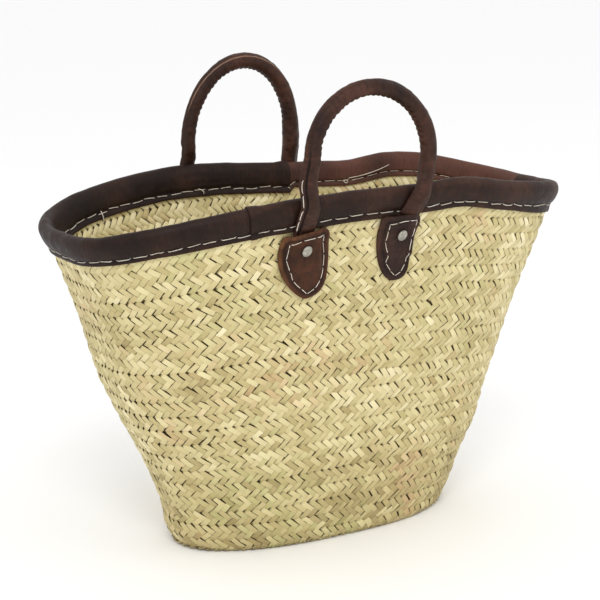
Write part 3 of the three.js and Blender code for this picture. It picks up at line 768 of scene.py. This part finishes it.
def rim_wear_sheen_and_shade(rings, section, worn):
    """Where the rim leather is rubbed and cut, with a painted sheen on the back right strip's inner
    face and painted shade in the fold at its stitches, for each point of its rings.
    """
    out, up = [np.concatenate([section[:, k], section[::-1, k]]) for k in (0, 1)]
    sides = np.concatenate([section[:, 0] > 0] * 2)
    reach = np.where(sides, FLANGE_REACH, INNER_FLANGE_REACH)
    stitch = np.where(sides, OUTER_STITCH, INNER_STITCH)
    cut = smoothstep(-0.5 * MM, 0.1 * MM, -up - reach)[None] * 0.35
    rubbed_and_sheen = np.exp(-((up + 1.5 * MM) / (4 * MM)) ** 2)[None] * 0.5
    rubbed_and_sheen = (rubbed_and_sheen + 0.5 * noise(rings, 20, 57)) * worn
    inside = smoothstep(1 * MM, -4 * MM, out)[None]
    # The back right strip's inner face is redder leather, with a painted sheen that grows towards the
    # right end
    redder_and_sheen = (0.45 + 0.55 * smoothstep(60 * MM, 170 * MM, rings[..., 0]))
    redder_and_sheen = redder_and_sheen * (rings[..., 0] > BACK_JOINT_X) * (rings[..., 1] > 0)
    redder_and_sheen = redder_and_sheen * (0.8 + 0.5 * noise(rings, 26, 58))
    rubbed_and_sheen = rubbed_and_sheen + 1.1 * inside * redder_and_sheen
    # Painted shade in the fold where the stitches pinch the leather
    fold_shade = np.exp(-((up + stitch) / (1.3 * MM)) ** 2)[None] * 0.45
    return shares(rubbed_and_sheen, cut, fold_shade)


def rim_leather(name, start, end, worn):
    """One of the rim's two strips. Its first end laps over the other strip."""
    turn, distance = even_turns(start, end, 1.7 * MM)
    section = rim_section()
    face, normal = rim_place(turn[:, None], section[None, :, 0], section[None, :, 1])
    lap = 1 - smoothstep(0, 16 * MM, distance)
    for depth, side in ((OUTER_STITCH, 1), (INNER_STITCH, -1)):
        near = np.exp(-((section[:, 1] + depth) / (1.6 * MM)) ** 2) * (section[:, 0] * side > 0)
        pull = 0.35 + 0.25 * np.sin(distance * 2 * np.pi / (14 * MM))
        face = face - normal * (near[None] * pull[:, None] * MM)[..., None]
    face = face + normal * (lap * 1.7 * MM)[:, None, None]
    under = face - normal * 1.6 * MM
    rings = np.concatenate([face, under[:, ::-1]], 1)
    size = rings.shape[1]
    quads = grid_faces(len(turn), size, False, True)
    half = np.arange(len(section) - 1)
    cap = np.stack([half, half + 1, size - 2 - half, size - 1 - half], 1)
    last = (len(turn) - 1) * size
    piece = mesh_piece(name, rings.reshape(-1, 3), [quads, cap[:, ::-1], cap + last],
                       RIM_LEATHER[name.split("_")[-1]])
    paint(piece, "wear_sheen_and_shade", rim_wear_sheen_and_shade(rings, section, worn))
    across = np.linspace(0, 0.08, len(section))
    across = np.concatenate([across, across[::-1]])
    lay_uv(piece, columns(distance[:, None], across[None]))
    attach(piece, "basket")
    return piece


def build_rim():
    front = rim_turn(FRONT_JOINT_X, -1)
    back = rim_turn(BACK_JOINT_X, 1)
    lap = 5 * MM / TOP_HALF_LENGTH
    right = rim_leather("rim_leather_right", front - lap, back + lap, 0.35)
    left = rim_leather("rim_leather_left", back - lap, front + 2 * np.pi + lap, 0.8)
    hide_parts("rim_binding_right")
    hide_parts("rim_binding_left")

    turn, _ = even_turns(0, 2 * np.pi, 4 * MM)
    angle = np.linspace(0, 2 * np.pi, 13)[:-1]
    out = np.broadcast_to((ROLL_HALF_WIDTH - 2.4 * MM) * np.sin(angle), (len(turn) - 1, 12))
    up = -ROLL_HALF_HEIGHT + (ROLL_HALF_HEIGHT - 2.6 * MM) * np.cos(angle)[None]
    rings = rim_point(turn[:-1, None], out, up)
    rope = mesh_piece("rim_core", rings.reshape(-1, 3),
                      [grid_faces(len(rings), 12, True, True)[:, ::-1]], ROPE)
    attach(rope, "basket")
    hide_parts("rim_rope")

    chance = np.random.default_rng(71)
    turns, distance = even_turns(front, front + 2 * np.pi, 1.0 * MM)
    for name, side, depth, stitch, gap, slack in (
            ("rim_stitches_outside", 1, OUTER_STITCH, 15 * MM, 1.2 * MM, 0.6 * MM),
            ("rim_stitches_inside", -1, INNER_STITCH, 15 * MM, 0.5 * MM, 0.9 * MM)):
        def surface(along, sideways, height, side=side, depth=depth):
            turn = np.interp(along % distance[-1], distance, turns)
            place, away = rim_place(turn, side * PINCH, -depth + sideways)
            return place + away * (height - 0.25 * MM)[..., None]
        paths = stitches(surface, distance[-1], stitch, gap, chance, slack)
        thread_piece(name, paths, 0.36 * MM)


# ------------------------------------------------------------------ handles
def handle_route(handle):
    """The middle of a handle from one patch over the arch to the other, and its half sizes."""
    side = handle["side"]
    hinge_y = side * HINGE_OFFSET / MM
    hinge_z = HINGE_HEIGHT / MM
    stations = []

    def leg(k):
        rivet_x, hinge_x = handle["rivet_x"][k], handle["hinge_x"][k]
        rivet_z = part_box(f"{handle['name']}_{LEGS[k]}_rivet")
        rivet_z = (rivet_z[0].z + rivet_z[1].z) / 2 / MM
        rim_x = hinge_x + (rivet_x - hinge_x) * 0.25
        top = float(wall_point(rim_turn(rim_x * MM, side), 1.0)[2]) / MM
        # Height, gap to the wall's middle, thickness and width of the leather on its way up.
        rows = [
            (rivet_z - 14, 2.9, 4.4, 20), (top - 31, 2.9, 4.4, 20), (top - 26.5, 5.2, 4.6, 19.5),
            (top - 18, 7.0, 6.5, 19), (top - 10, 8.3, 9.0, 18), (top - 3, 7.2, 12.0, 16.5)]
        points = []
        for z, stand_off, thick, wide in rows:
            x = rivet_x + (hinge_x - rivet_x) * (z - rivet_z) / (hinge_z - rivet_z)
            wall = wall_point(*on_wall(x * MM, min(z, top - 2) * MM, side)) / MM
            points.append((x, side * (abs(wall[1]) + stand_off + thick / 2), z,
                           wide / 2, thick / 2))
        points.append((hinge_x, hinge_y, hinge_z, handle["half_widths"][k], 7.6))
        return points

    stations += leg(0)
    for k in range(13):
        angle = math.pi * (1 - k / 12)
        rise = handle["arch_rise"] * math.sin(angle)
        x = handle["arch_x"] + handle["radius"] * math.cos(angle) + handle["lean"] * rise
        left, right = handle["half_widths"]
        stations.append((x, hinge_y, handle["arch_height"] + rise,
                         left + (right - left) * k / 12, 7.5))
    stations += leg(1)[::-1]
    path = smooth_path(np.array(stations), 520)
    return path[:, :3] * MM, path[:, 3] * MM, path[:, 4] * MM


SEAM_ANGLE = 0.38                   # round the handle from its outer edge towards the viewer
GROOVE_ANGLE = 0.72
SLEEVE_SIDES = 60
# Heights on a handle, in mm.
SEAM_START, SEAM_END = 322, 366
CORE_START = 347
ARCH_START, ARCH_FULL = 372, 405


class HandlePath:
    """A handle's middle line and half sizes, the directions round it and the distance along it."""

    def __init__(self, handle):
        self.middle, self.half_wide, self.half_thick = handle_route(handle)
        ahead = unit(np.gradient(self.middle, axis=0))
        self.outward = unit(np.cross(ahead, np.array([0, 1.0, 0])))
        self.facing = np.cross(self.outward, ahead)
        self.towards_front = np.sign(self.facing[0, 1]) * handle["side"]
        steps = np.linalg.norm(np.diff(self.middle, axis=0), axis=1)
        self.distance = np.concatenate([[0], np.cumsum(steps)])
        self.height = self.middle[:, 2] / MM
        self.on_arch = smoothstep(ARCH_START, ARCH_FULL, self.height)
        self.flap_leg = 0 if handle["name"] == "front" else 1
        first_half = self.distance < self.distance[-1] / 2
        on_flap_leg = first_half == (self.flap_leg == 0)
        self.flap = np.where(on_flap_leg, 1.0, 0.25) * (1 - self.on_arch)
        self.ridge = 0.4 + 1.6 * self.flap


def sleeve_relief(path, angle, front):
    """How far the leather stands out, its seam, and the painted shade in its groove and between its
    pleats.
    """
    distance = path.distance[:, None]
    over_rim = smoothstep(328, 345, path.height) * (1 - smoothstep(352, 368, path.height))
    inner = np.exp(-((np.abs(angle - np.pi)) / 0.75) ** 2)[None]
    seam = np.exp(-((front - 0.05) / 0.3) ** 2)[None]
    groove = np.exp(-((front - GROOVE_ANGLE) / 0.14) ** 2)[None] * (0.15 + path.flap)[:, None]

    def surface_noise(lengthwise, crosswise, seed):
        place = np.broadcast_arrays(distance * lengthwise, angle[None] * crosswise, 0.0 * distance)
        return noise(np.stack(place, -1), 1, seed)

    phase = path.distance / (6.5 * MM) + 0.35 * noise(path.middle, 60, 61)
    pleat = np.abs(np.sin(np.pi * phase)) ** 0.7
    pucker = inner * ((pleat - 0.75) * 1.5 * path.on_arch)[:, None]
    lumps = noise(path.middle, 45, 63)[:, None] * 0.35
    bulge = (path.ridge[:, None] * seam - 1.5 * groove + pucker + 0.28 * surface_noise(260, 1.3, 62)
             + lumps + 0.7 * surface_noise(120, 1, 64) * over_rim[:, None]) * MM
    # Painted shade: the shadow in the groove beside the flap and between the pleats on the arch
    fold_shade = 0.95 * groove + 0.6 * inner * (smoothstep(0.5, 0.1, pleat) * path.on_arch)[:, None]
    return bulge, seam, fold_shade


def build_sleeve(name, path):
    """The handle's leather, with its raised seam, groove, pleats and rubbed arch."""
    angle = np.linspace(0, 2 * np.pi, SLEEVE_SIDES, endpoint=False)
    front = np.where(angle > np.pi, angle - 2 * np.pi, angle) * path.towards_front
    bulge, seam, fold_shade = sleeve_relief(path, angle, front)
    across = np.sign(np.cos(angle)) * np.abs(np.cos(angle)) ** 0.9
    wide = (path.half_wide[:, None] + bulge) * across[None]
    thick = (path.half_thick[:, None] + bulge) * np.sin(angle)[None]
    ring = path.outward[:, None] * wide[..., None] + path.facing[:, None] * thick[..., None]
    points = path.middle[:, None] + ring
    first = np.arange(SLEEVE_SIDES)
    last = first + (len(path.middle) - 1) * SLEEVE_SIDES
    ends = np.stack([first, last[::-1]])
    sleeve = mesh_piece(f"{name}_handle_leather", points.reshape(-1, 3),
                        [grid_faces(len(path.middle), SLEEVE_SIDES, False, True), ends],
                        HANDLE_LEATHER)
    along = path.distance / path.distance[-1]
    raw_angle = -0.3 - 0.65 * np.exp(-((along - 0.52) / 0.16) ** 2)
    raw_shown = smoothstep(0.28, 0.34, along) * smoothstep(0.64, 0.58, along) * (name == "back")
    raw_edge = np.exp(-((front - raw_angle[:, None]) / 0.07) ** 2) * raw_shown[:, None]
    rubbed_and_sheen = 0.45 * path.on_arch[:, None] * (0.4 + 0.6 * seam) + 0.45 * noise(points, 30, 65)
    paint(sleeve, "wear_sheen_and_shade", shares(rubbed_and_sheen, 0.9 * raw_edge, fold_shade))
    lay_uv(sleeve, columns(path.distance[:, None], angle[None] * TUBE_RADIUS))
    return sleeve


def build_handle_core(name, path):
    core_points, core_quads, core_ends = tube(
        path.middle[path.height > CORE_START], TUBE_RADIUS - 3.0 * MM, 12)
    core = mesh_piece(f"{name}_handle_core", core_points, [core_quads, core_ends], ROPE)
    return core


def build_handle_seam(name, path):
    """The thread that closes the leather on the leg where its flap shows."""
    chance = np.random.default_rng(81 if name == "front" else 82)
    distance, height = path.distance, path.height
    low, high = distance[height > SEAM_START][[0, -1]]
    past = distance[height > SEAM_END]
    span = (low, past[0]) if path.flap_leg == 0 else (past[-1], high)

    def surface(along, sideways, lift):
        s = along + span[0]

        def rows(values):
            return np.stack([np.interp(s, distance, values[:, k]) for k in range(3)], 1)

        swell = np.interp(s, distance, path.ridge) * MM * 0.65 + lift
        wide = np.interp(s, distance, path.half_wide) + swell
        thick = np.interp(s, distance, path.half_thick) + swell
        out = unit(rows(path.outward)) * (wide * math.cos(SEAM_ANGLE))[:, None]
        aside = path.towards_front * thick * math.sin(SEAM_ANGLE) + sideways
        return rows(path.middle) + out + unit(rows(path.facing)) * aside[:, None]

    paths = stitches(surface, span[1] - span[0], 12 * MM, 0.9 * MM, chance, 0.2 * MM)
    return thread_piece(f"{name}_handle_seam", paths, 0.4 * MM, None)


def build_handle(handle):
    name = handle["name"]
    path = HandlePath(handle)
    sleeve = build_sleeve(name, path)
    core = build_handle_core(name, path)
    seam_thread = build_handle_seam(name, path)
    for piece in (sleeve, core, seam_thread):
        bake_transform(piece)
    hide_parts(f"{name}_handle_sleeve", f"{name}_left_leg", f"{name}_right_leg")
    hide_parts(f"{name}_handle_rope")


# ------------------------------------------------------------------ patches and rivets
def bezier(a, b, c, d, count=40):
    t = np.linspace(0, 1, count, endpoint=False)[:, None]
    a, b, c, d = [np.array(point, float) for point in (a, b, c, d)]
    return (1 - t) ** 3 * a + 3 * (1 - t) ** 2 * t * b + 3 * (1 - t) * t * t * c + t ** 3 * d


def shield_outline(left, right, top, bottom, tip, slant, bulge, waist, shoulder,
                   full_left, full_right):
    """The patch's outline in millimetres from its rivet, starting at its bottom point."""
    corner = PATCH_CORNER / MM
    top_right = top + slant
    middle = -0.45 * bottom

    def round_corner(a, b, c):
        a, b, c = [np.array(point, float) for point in (a, b, c)]
        return bezier(a, a + (b - a) * 2 / 3, c + (b - c) * 2 / 3, c, 12)

    curve = np.concatenate([
        bezier((tip, -bottom), (tip - full_left * left, -bottom), (-left - bulge, middle),
               (-left, top - corner)),
        round_corner((-left, top - corner), (-left, top), (-left + corner, top)),
        [(-left + corner, top)],
        round_corner((right - corner, top_right), (right, top_right), (right, top_right - corner)),
        [(right, top_right - corner)],
        bezier((right, top_right - corner - shoulder), (right - waist, middle),
               (tip + full_right * right, -bottom), (tip, -bottom))])
    return resample(curve, 132, closed=True)


def patch_height(x, y):
    """How far a patch's lower face stands off the wall's middle, over the wall and the leg."""
    across_leg = 1 - smoothstep(12, 19, np.abs(x))
    along_leg = smoothstep(-26, -19, y)
    beside = 4.0 + 1.6 * smoothstep(2, 11, y)
    on_leg = 8.3 + 1.8 * smoothstep(4, 14, y)
    return beside + (on_leg - beside) * across_leg * along_leg


SEAM_INSET = 5.6                    # mm from a patch's edge to its stitches
SEAM_CORNERS = 15


def seam_corners(outline, chance):
    """The needle holes of a patch's seam, hand spaced, with one at its bottom point."""
    ahead = unit(np.roll(outline, -2, axis=0) - np.roll(outline, 2, axis=0))
    inwards = np.stack([ahead[:, 1], -ahead[:, 0]], 1)
    chosen = np.arange(SEAM_CORNERS) * len(outline) // SEAM_CORNERS
    line = outline[chosen]
    leftwards = smoothstep(0.2, 0.9, -line[:, 0] / np.linalg.norm(line, axis=1))
    inset = SEAM_INSET + 1.8 * leftwards + chance.normal(0, 0.4, len(line))
    inset[0] = SEAM_INSET - 0.6
    inset[[1, -1]] = SEAM_INSET + 1.2
    return line + inwards[chosen] * inset[:, None]


def patch_surface(x, y, inset, k):
    """The height of a patch's face over the wall, and how puffed and grooved it is there."""
    flat_place = np.stack([x, y, 0 * x], -1)
    lumps = noise(flat_place, 0.09, 91 + k) * 0.5 + noise(flat_place, 0.3, 93 + k) * 0.22
    groove = np.exp(-((inset - SEAM_INSET) / 1.1) ** 2)
    rounding = 0.7 * smoothstep(2.2, 0, inset) ** 2
    puff = 0.6 * smoothstep(5.5, 12, inset) + 0.35 * np.exp(-((inset - 2.8) / 1.3) ** 2)
    dent = 0.8 * np.exp(-(np.hypot(x, y) / 7.5) ** 2)
    height = patch_height(x, y) + PATCH_THICKNESS / MM - 0.6 + lumps + puff - rounding
    return height - 0.55 * groove - dent, puff, groove


def patch_wear_and_shade(outline, flat_place, inset, puff, groove, broad):
    """Where a patch is rubbed and cut, with painted shade in its stitch groove: its face's points,
    then the two rows below them.
    """
    leftwards = smoothstep(0.0, 0.9, -outline[:, 0] / np.linalg.norm(outline, axis=1))
    strength = 0.9 if broad else 0.12
    frayed = strength * (0.55 + 0.45 * leftwards) * (0.8 + 0.5 * noise(flat_place, 0.3, 96))
    worn_edge = smoothstep(2.2 + 4.5 * leftwards, 0.4, inset + 1.2 * noise(flat_place, 0.5, 97))
    below = np.zeros((2, len(outline)))
    cut = np.concatenate([frayed * worn_edge, np.tile(frayed[-1], (2, 1))])
    rubbed_and_sheen = np.concatenate([0.3 * puff + 0.35 * noise(flat_place, 0.06, 95), below])
    # Painted shade in the groove along the stitches
    fold_shade = np.concatenate([0.6 * groove, below])
    return shares(rubbed_and_sheen, cut, fold_shade)


def build_patch_stitches(where, outline, lay, chance):
    corners = seam_corners(outline, chance)
    paths = []
    for start, end in zip(corners, np.roll(corners, -1, axis=0)):
        short = np.array([chance.uniform(0.02, 0.09), 1 - chance.uniform(0.02, 0.09)])
        part = np.linspace(*short, 9)[:, None]
        spot = start * (1 - part) + end * part
        spot = spot + chance.normal(0, 0.25, 2) * np.sin(np.pi * part)
        to_end = np.minimum(part[:, 0] - short[0], short[1] - part[:, 0])
        base = patch_height(spot[:, 0], spot[:, 1]) + PATCH_THICKNESS / MM + 0.15
        paths.append(lay(spot[:, 0], spot[:, 1], base - 0.9 * smoothstep(0.12, 0, to_end)))
    thread_piece(f"{where}_patch_stitches", paths, 0.34 * MM)


def build_patch(handle, k):
    side = handle["side"]
    where = f"{handle['name']}_{LEGS[k]}"
    low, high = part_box(f"{where}_burr")
    middle = (low + high) / 2
    centre, along, up, out = wall_frame(*on_wall(middle.x, middle.z, side))
    shape = handle["patches"][k]
    broad = shape is BROAD_PATCH
    outline = shield_outline(**shape)

    def lay(x, y, height):
        """Millimetres on the patch to a place over the curved wall."""
        flat = centre + (along * x[..., None] + up * y[..., None]) * MM
        spot, _, _, away = wall_frame(*on_wall(flat[..., 0], flat[..., 2], side))
        return spot + away * (height * MM)[..., None]

    rings = np.concatenate([np.linspace(0.0, 0.86, 22), np.linspace(0.885, 0.985, 6), [1.0]])
    x, y = [outline[None, :, axis] * rings[:, None] for axis in (0, 1)]
    inset = (1 - rings)[:, None] * np.linalg.norm(outline, axis=1)[None]
    flat_place = np.stack([x, y, 0 * x], -1)
    height, puff, groove = patch_surface(x, y, inset, k)
    bottom_edge = patch_height(outline[:, 0], outline[:, 1])
    face = lay(x, y, height)
    rim = lay(outline[:, 0], outline[:, 1], bottom_edge - 0.4)
    under = lay(outline[:, 0] * 0.93, outline[:, 1] * 0.93, bottom_edge - 1.2)
    patch = mesh_piece(f"{where}_shield", np.concatenate([face.reshape(-1, 3), rim, under]),
                       [grid_faces(len(rings) + 2, len(outline), False, True)],
                       PATCH_LEATHER[broad])
    paint(patch, "wear_sheen_and_shade", patch_wear_and_shade(outline, flat_place, inset, puff, groove, broad))
    lay_uv(patch, np.concatenate([flat_place[..., :2].reshape(-1, 2), outline, outline * 0.93]) * MM)
    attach(patch, "basket")
    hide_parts(f"{where}_patch")
    build_patch_stitches(where, outline, lay, np.random.default_rng(101 + 7 * k + side))
    build_rivet(where, centre, along, up, out)


def build_rivet(where, centre, along, up, out):
    """A flat-headed rivet, a little dented, and its washer pressed into the wall's inner face."""
    head = 8.3 + 1.0 + PATCH_THICKNESS / MM
    # Radius and height over the leather: the head's face and edge, then the shank and the washer.
    profile = np.array([
        (0.0, 1.55), (1.6, 1.55), (3.0, 1.45), (3.9, 1.25), (4.55, 0.9), (4.95, 0.4), (5.05, -0.1),
        (4.8, -0.7), (2.0, -0.8), (2.0, -head + 0.4), (4.4, -head + 0.6), (4.4, -head - 0.4),
        (2.2, -head - 0.6), (0.0, -head - 0.7)])
    profile[:, 1] += head
    sides = 36
    angle = np.linspace(0, 2 * np.pi, sides, endpoint=False)
    long_way = profile[:, 0][:, None] * np.cos(angle) * 1.08
    short_way = profile[:, 0][:, None] * np.sin(angle) * 0.84
    x = (long_way - short_way) * math.sqrt(0.5)
    y = (long_way + short_way) * math.sqrt(0.5)
    dents = noise(np.stack([x, y, 0 * x], -1), 0.45, 111) * 0.16 * (profile[:, 1:2] > head)
    lean = 0.035 * x - 0.05 * y
    z = profile[:, 1][:, None] + dents + np.where(profile[:, 1:2] > head - 2, lean, 0)
    place = centre + (along * x[..., None] + up * y[..., None] + out * z[..., None]) * MM
    piece = mesh_piece(f"{where}_rivet_cap", place.reshape(-1, 3),
                       [grid_faces(len(profile), sides, False, True)[:, ::-1]], STEEL)
    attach(piece, "basket")
    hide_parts(f"{where}_rivet", f"{where}_burr")


# ------------------------------------------------------------------ base
BASE_COURSES = 4
BASE_COURSE = (FOOT_HALF_DEPTH - FOOT_TUCK) / BASE_COURSES


def base_outline(inset, turn):
    """The base's outline, drawn in by inset, bulging at the left end as the wall's foot does."""
    foot = super_ellipse(FOOT_HALF_LENGTH, FOOT_HALF_DEPTH, BASE_SQUARENESS, turn)
    share = super_ellipse(1, 1, RIM_SQUARENESS, turn)[..., 0]
    swell = body_swell(share, BASE_HIGH.z) / np.linalg.norm(foot, axis=-1)
    flat = super_ellipse(np.maximum(FOOT_HALF_LENGTH - FOOT_TUCK - inset, 4 * MM),
                         np.maximum(FOOT_HALF_DEPTH - FOOT_TUCK - inset, 2 * MM),
                         BASE_SQUARENESS, turn)
    return flat * (1 + swell)[..., None]


def base_ring(inset):
    turns = np.linspace(0, 2 * np.pi, 721)
    points = base_outline(inset, turns)
    length = np.concatenate([[0], np.cumsum(np.linalg.norm(np.diff(points, axis=0), axis=1))])
    return turns, length / length[-1], length[-1]


BASE_RINGS = [base_ring((course + 0.5) * BASE_COURSE) for course in range(BASE_COURSES)]


def base_surface(side):
    def surface(course, around, up, height):
        turns, share, _ = BASE_RINGS[course]
        turn = np.interp(around % 1.0, share, turns)
        flat = base_outline((course + up) * BASE_COURSE - 0.5 * MM, turn)
        level = (3.6 if side > 0 else 2.1) * MM
        return np.concatenate([flat, (level + height)[..., None]], -1)
    return surface


def base_cells(course):
    return max(12, round(BASE_RINGS[course][2] / CELL))


def build_base():
    pieces = [
        plait(name, range(BASE_COURSES), base_surface(side), base_cells, side, False, seed)
        for name, side, seed in (("base_plait_inside", 1, 60), ("base_plait_underside", -1, 61))]
    # A dark sheet under the base plait, painted shade that shows through the slits
    turns = np.linspace(0, 2 * np.pi, 181)[:-1]
    insets = np.linspace(-1 * MM, BASE_COURSES * BASE_COURSE, 24)
    inset, turn = np.meshgrid(insets, turns, indexing="ij")
    flat = base_outline(inset, turn)
    flat[-1, :, 1] = 0              # the innermost ring closes along the base's middle line
    upper = np.concatenate([flat, np.full(inset.shape + (1,), 4.0 * MM)], -1)
    lower = np.concatenate([flat, np.full(inset.shape + (1,), 1.7 * MM)], -1)
    rows = np.concatenate([upper[::-1], lower])
    core = mesh_piece("base_underlayer", rows.reshape(-1, 3),
                      [grid_faces(len(rows), len(turns), False, True)[:, ::-1]], UNDERLAYER_SHADE)
    for piece in pieces + [core]:
        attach(piece, "basket")
    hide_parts("base_mat")


# ------------------------------------------------------------------ loose thread ends
def build_loose_ends():
    """Thread ends and a knot left on the inside of the back rim."""
    def inside(x, up, out):
        turn = rim_turn(x * MM, 1)
        return rim_point(np.array(turn), np.array(-out * MM), np.array(-up * MM))
    tails = [
        [inside(-180, 24, 4.6), inside(-180.5, 28, 6.0), inside(-181, 33, 6.4),
         inside(-181.5, 37, 5.0)],
        [inside(-60, 25, 4.6), inside(-57, 26.5, 6.0), inside(-54.5, 28.5, 6.6), inside(-54, 31, 5.6)],
        [inside(116, 20, 6.0), inside(132, 19.5, 7.4), inside(150, 18, 8.0), inside(165, 14.5, 8.3)],
        [inside(112, 23, 4.8), inside(114, 21.5, 6.8), inside(116, 24, 6.2), inside(113.5, 24.6, 7.0),
         inside(112.5, 22, 6.4), inside(116.5, 22, 5.0)],
        [inside(45, 29, 4.8), inside(46.5, 27.5, 6.4), inside(48, 29.5, 6.0), inside(45.5, 30, 6.2)],
    ]
    thread_piece("rim_thread_ends", [smooth_path(tail, 26) for tail in tails], 0.42 * MM)


# ------------------------------------------------------------------ stage, light and camera
CAMERA_TURN = math.radians(-29.8)   # seen from the front left
CAMERA_DISTANCE = 1.600
CAMERA_HEIGHT = 0.581
CAMERA_PITCH = math.radians(-12.57)
CAMERA_AIM = math.radians(0.33)
CAMERA_ROLL = math.radians(-0.89)
CAMERA_LENS = 99.8                  # mm, on a sensor this wide
SENSOR_WIDTH = 36
LIGHT_AIM = (0, 0, 0.2)
FLOOR_REACH = 40.0


def add_camera():
    place = Vector((math.sin(CAMERA_TURN) * CAMERA_DISTANCE,
                    -math.cos(CAMERA_TURN) * CAMERA_DISTANCE, CAMERA_HEIGHT))
    heading = CAMERA_TURN + CAMERA_AIM
    forward = Vector((-math.sin(heading) * math.cos(CAMERA_PITCH),
                      math.cos(heading) * math.cos(CAMERA_PITCH), math.sin(CAMERA_PITCH)))
    data = bpy.data.cameras.new("camera")
    data.lens = CAMERA_LENS
    data.sensor_width = SENSOR_WIDTH
    camera = bpy.data.objects.new("camera", data)
    turn = forward.to_track_quat("-Z", "Y").to_matrix().to_4x4()
    camera.matrix_world = Matrix.Translation(place) @ turn @ Matrix.Rotation(CAMERA_ROLL, 4, "Z")
    bpy.context.scene.collection.objects.link(camera)
    bpy.context.scene.camera = camera


def add_light(name, place, size, power):
    """A round, white, soft light that points at the basket."""
    data = bpy.data.lights.new(name, "AREA")
    data.shape = "DISK"
    data.size = size
    data.energy = power
    lamp = bpy.data.objects.new(name, data)
    lamp.matrix_world = Matrix.Translation(place) @ (
        Vector(LIGHT_AIM) - Vector(place)).to_track_quat("-Z", "Y").to_matrix().to_4x4()
    bpy.context.scene.collection.objects.link(lamp)


def add_stage():
    signs = [(-1, -1), (1, -1), (1, 1), (-1, 1)]
    points = [(FLOOR_REACH * x, FLOOR_REACH * y, 0) for x, y in signs]
    n = Nodes("studio_floor")
    n.set(Base_Color=(0.96, 0.96, 0.96, 1), Roughness=0.9)
    n.shader.inputs["Specular IOR Level"].default_value = 0.1
    floor = mesh_piece("studio_floor", np.array(points), [np.array([[0, 1, 2, 3]])], n.material)
    world = bpy.data.worlds.new("studio")
    bpy.context.scene.world = world
    world.use_nodes = True
    world.node_tree.nodes["Background"].inputs[0].default_value = (1, 1, 1, 1)
    world.node_tree.nodes["Background"].inputs[1].default_value = 1.0
    add_light("key", (-1.1, -1.95, 2.4), 1.0, 23)
    add_light("fill", (2.2, -1.6, 1.6), 1.8, 6)
    bpy.context.scene.view_settings.view_transform = "Standard"


PALM = palm_leaf()
UNDERLAYER_SHADE = dark_plait()
ROPE = rope_material()
THREAD = thread_material()
STEEL = steel_material()
RIM_LEATHER = {
    "left": leather(
        "rim_leather_dark", srgb(22, 13, 10), srgb(34, 21, 16), srgb(53, 33, 25), 0.5, 0.35),
    # The right strip is redder leather; its rubbed colour also paints the sheen on its inner back
    "right": leather(
        "rim_leather_red", srgb(26, 16, 12), srgb(40, 25, 18), srgb(64, 40, 31), 0.5, 0.35,
        rub_and_sheen_color=srgb(112, 72, 60)),
}
HANDLE_LEATHER = leather(
    "handle_leather", srgb(30, 18, 14), srgb(55, 34, 26), srgb(90, 58, 46), 0.48, 0.6,
    raw=srgb(196, 158, 132))
PATCH_LEATHER = {
    True: leather("patch_leather_brown", srgb(34, 20, 13), srgb(57, 34, 21), srgb(86, 49, 32), 0.55),
    False: leather("patch_leather_dark", srgb(30, 18, 15), srgb(45, 29, 24), srgb(70, 47, 39), 0.55),
}

add_camera()
add_stage()
build_wall()
build_base()
build_rim()
for handle in HANDLES:
    build_handle(handle)
    for leg in (0, 1):
        build_patch(handle, leg)
build_loose_ends()
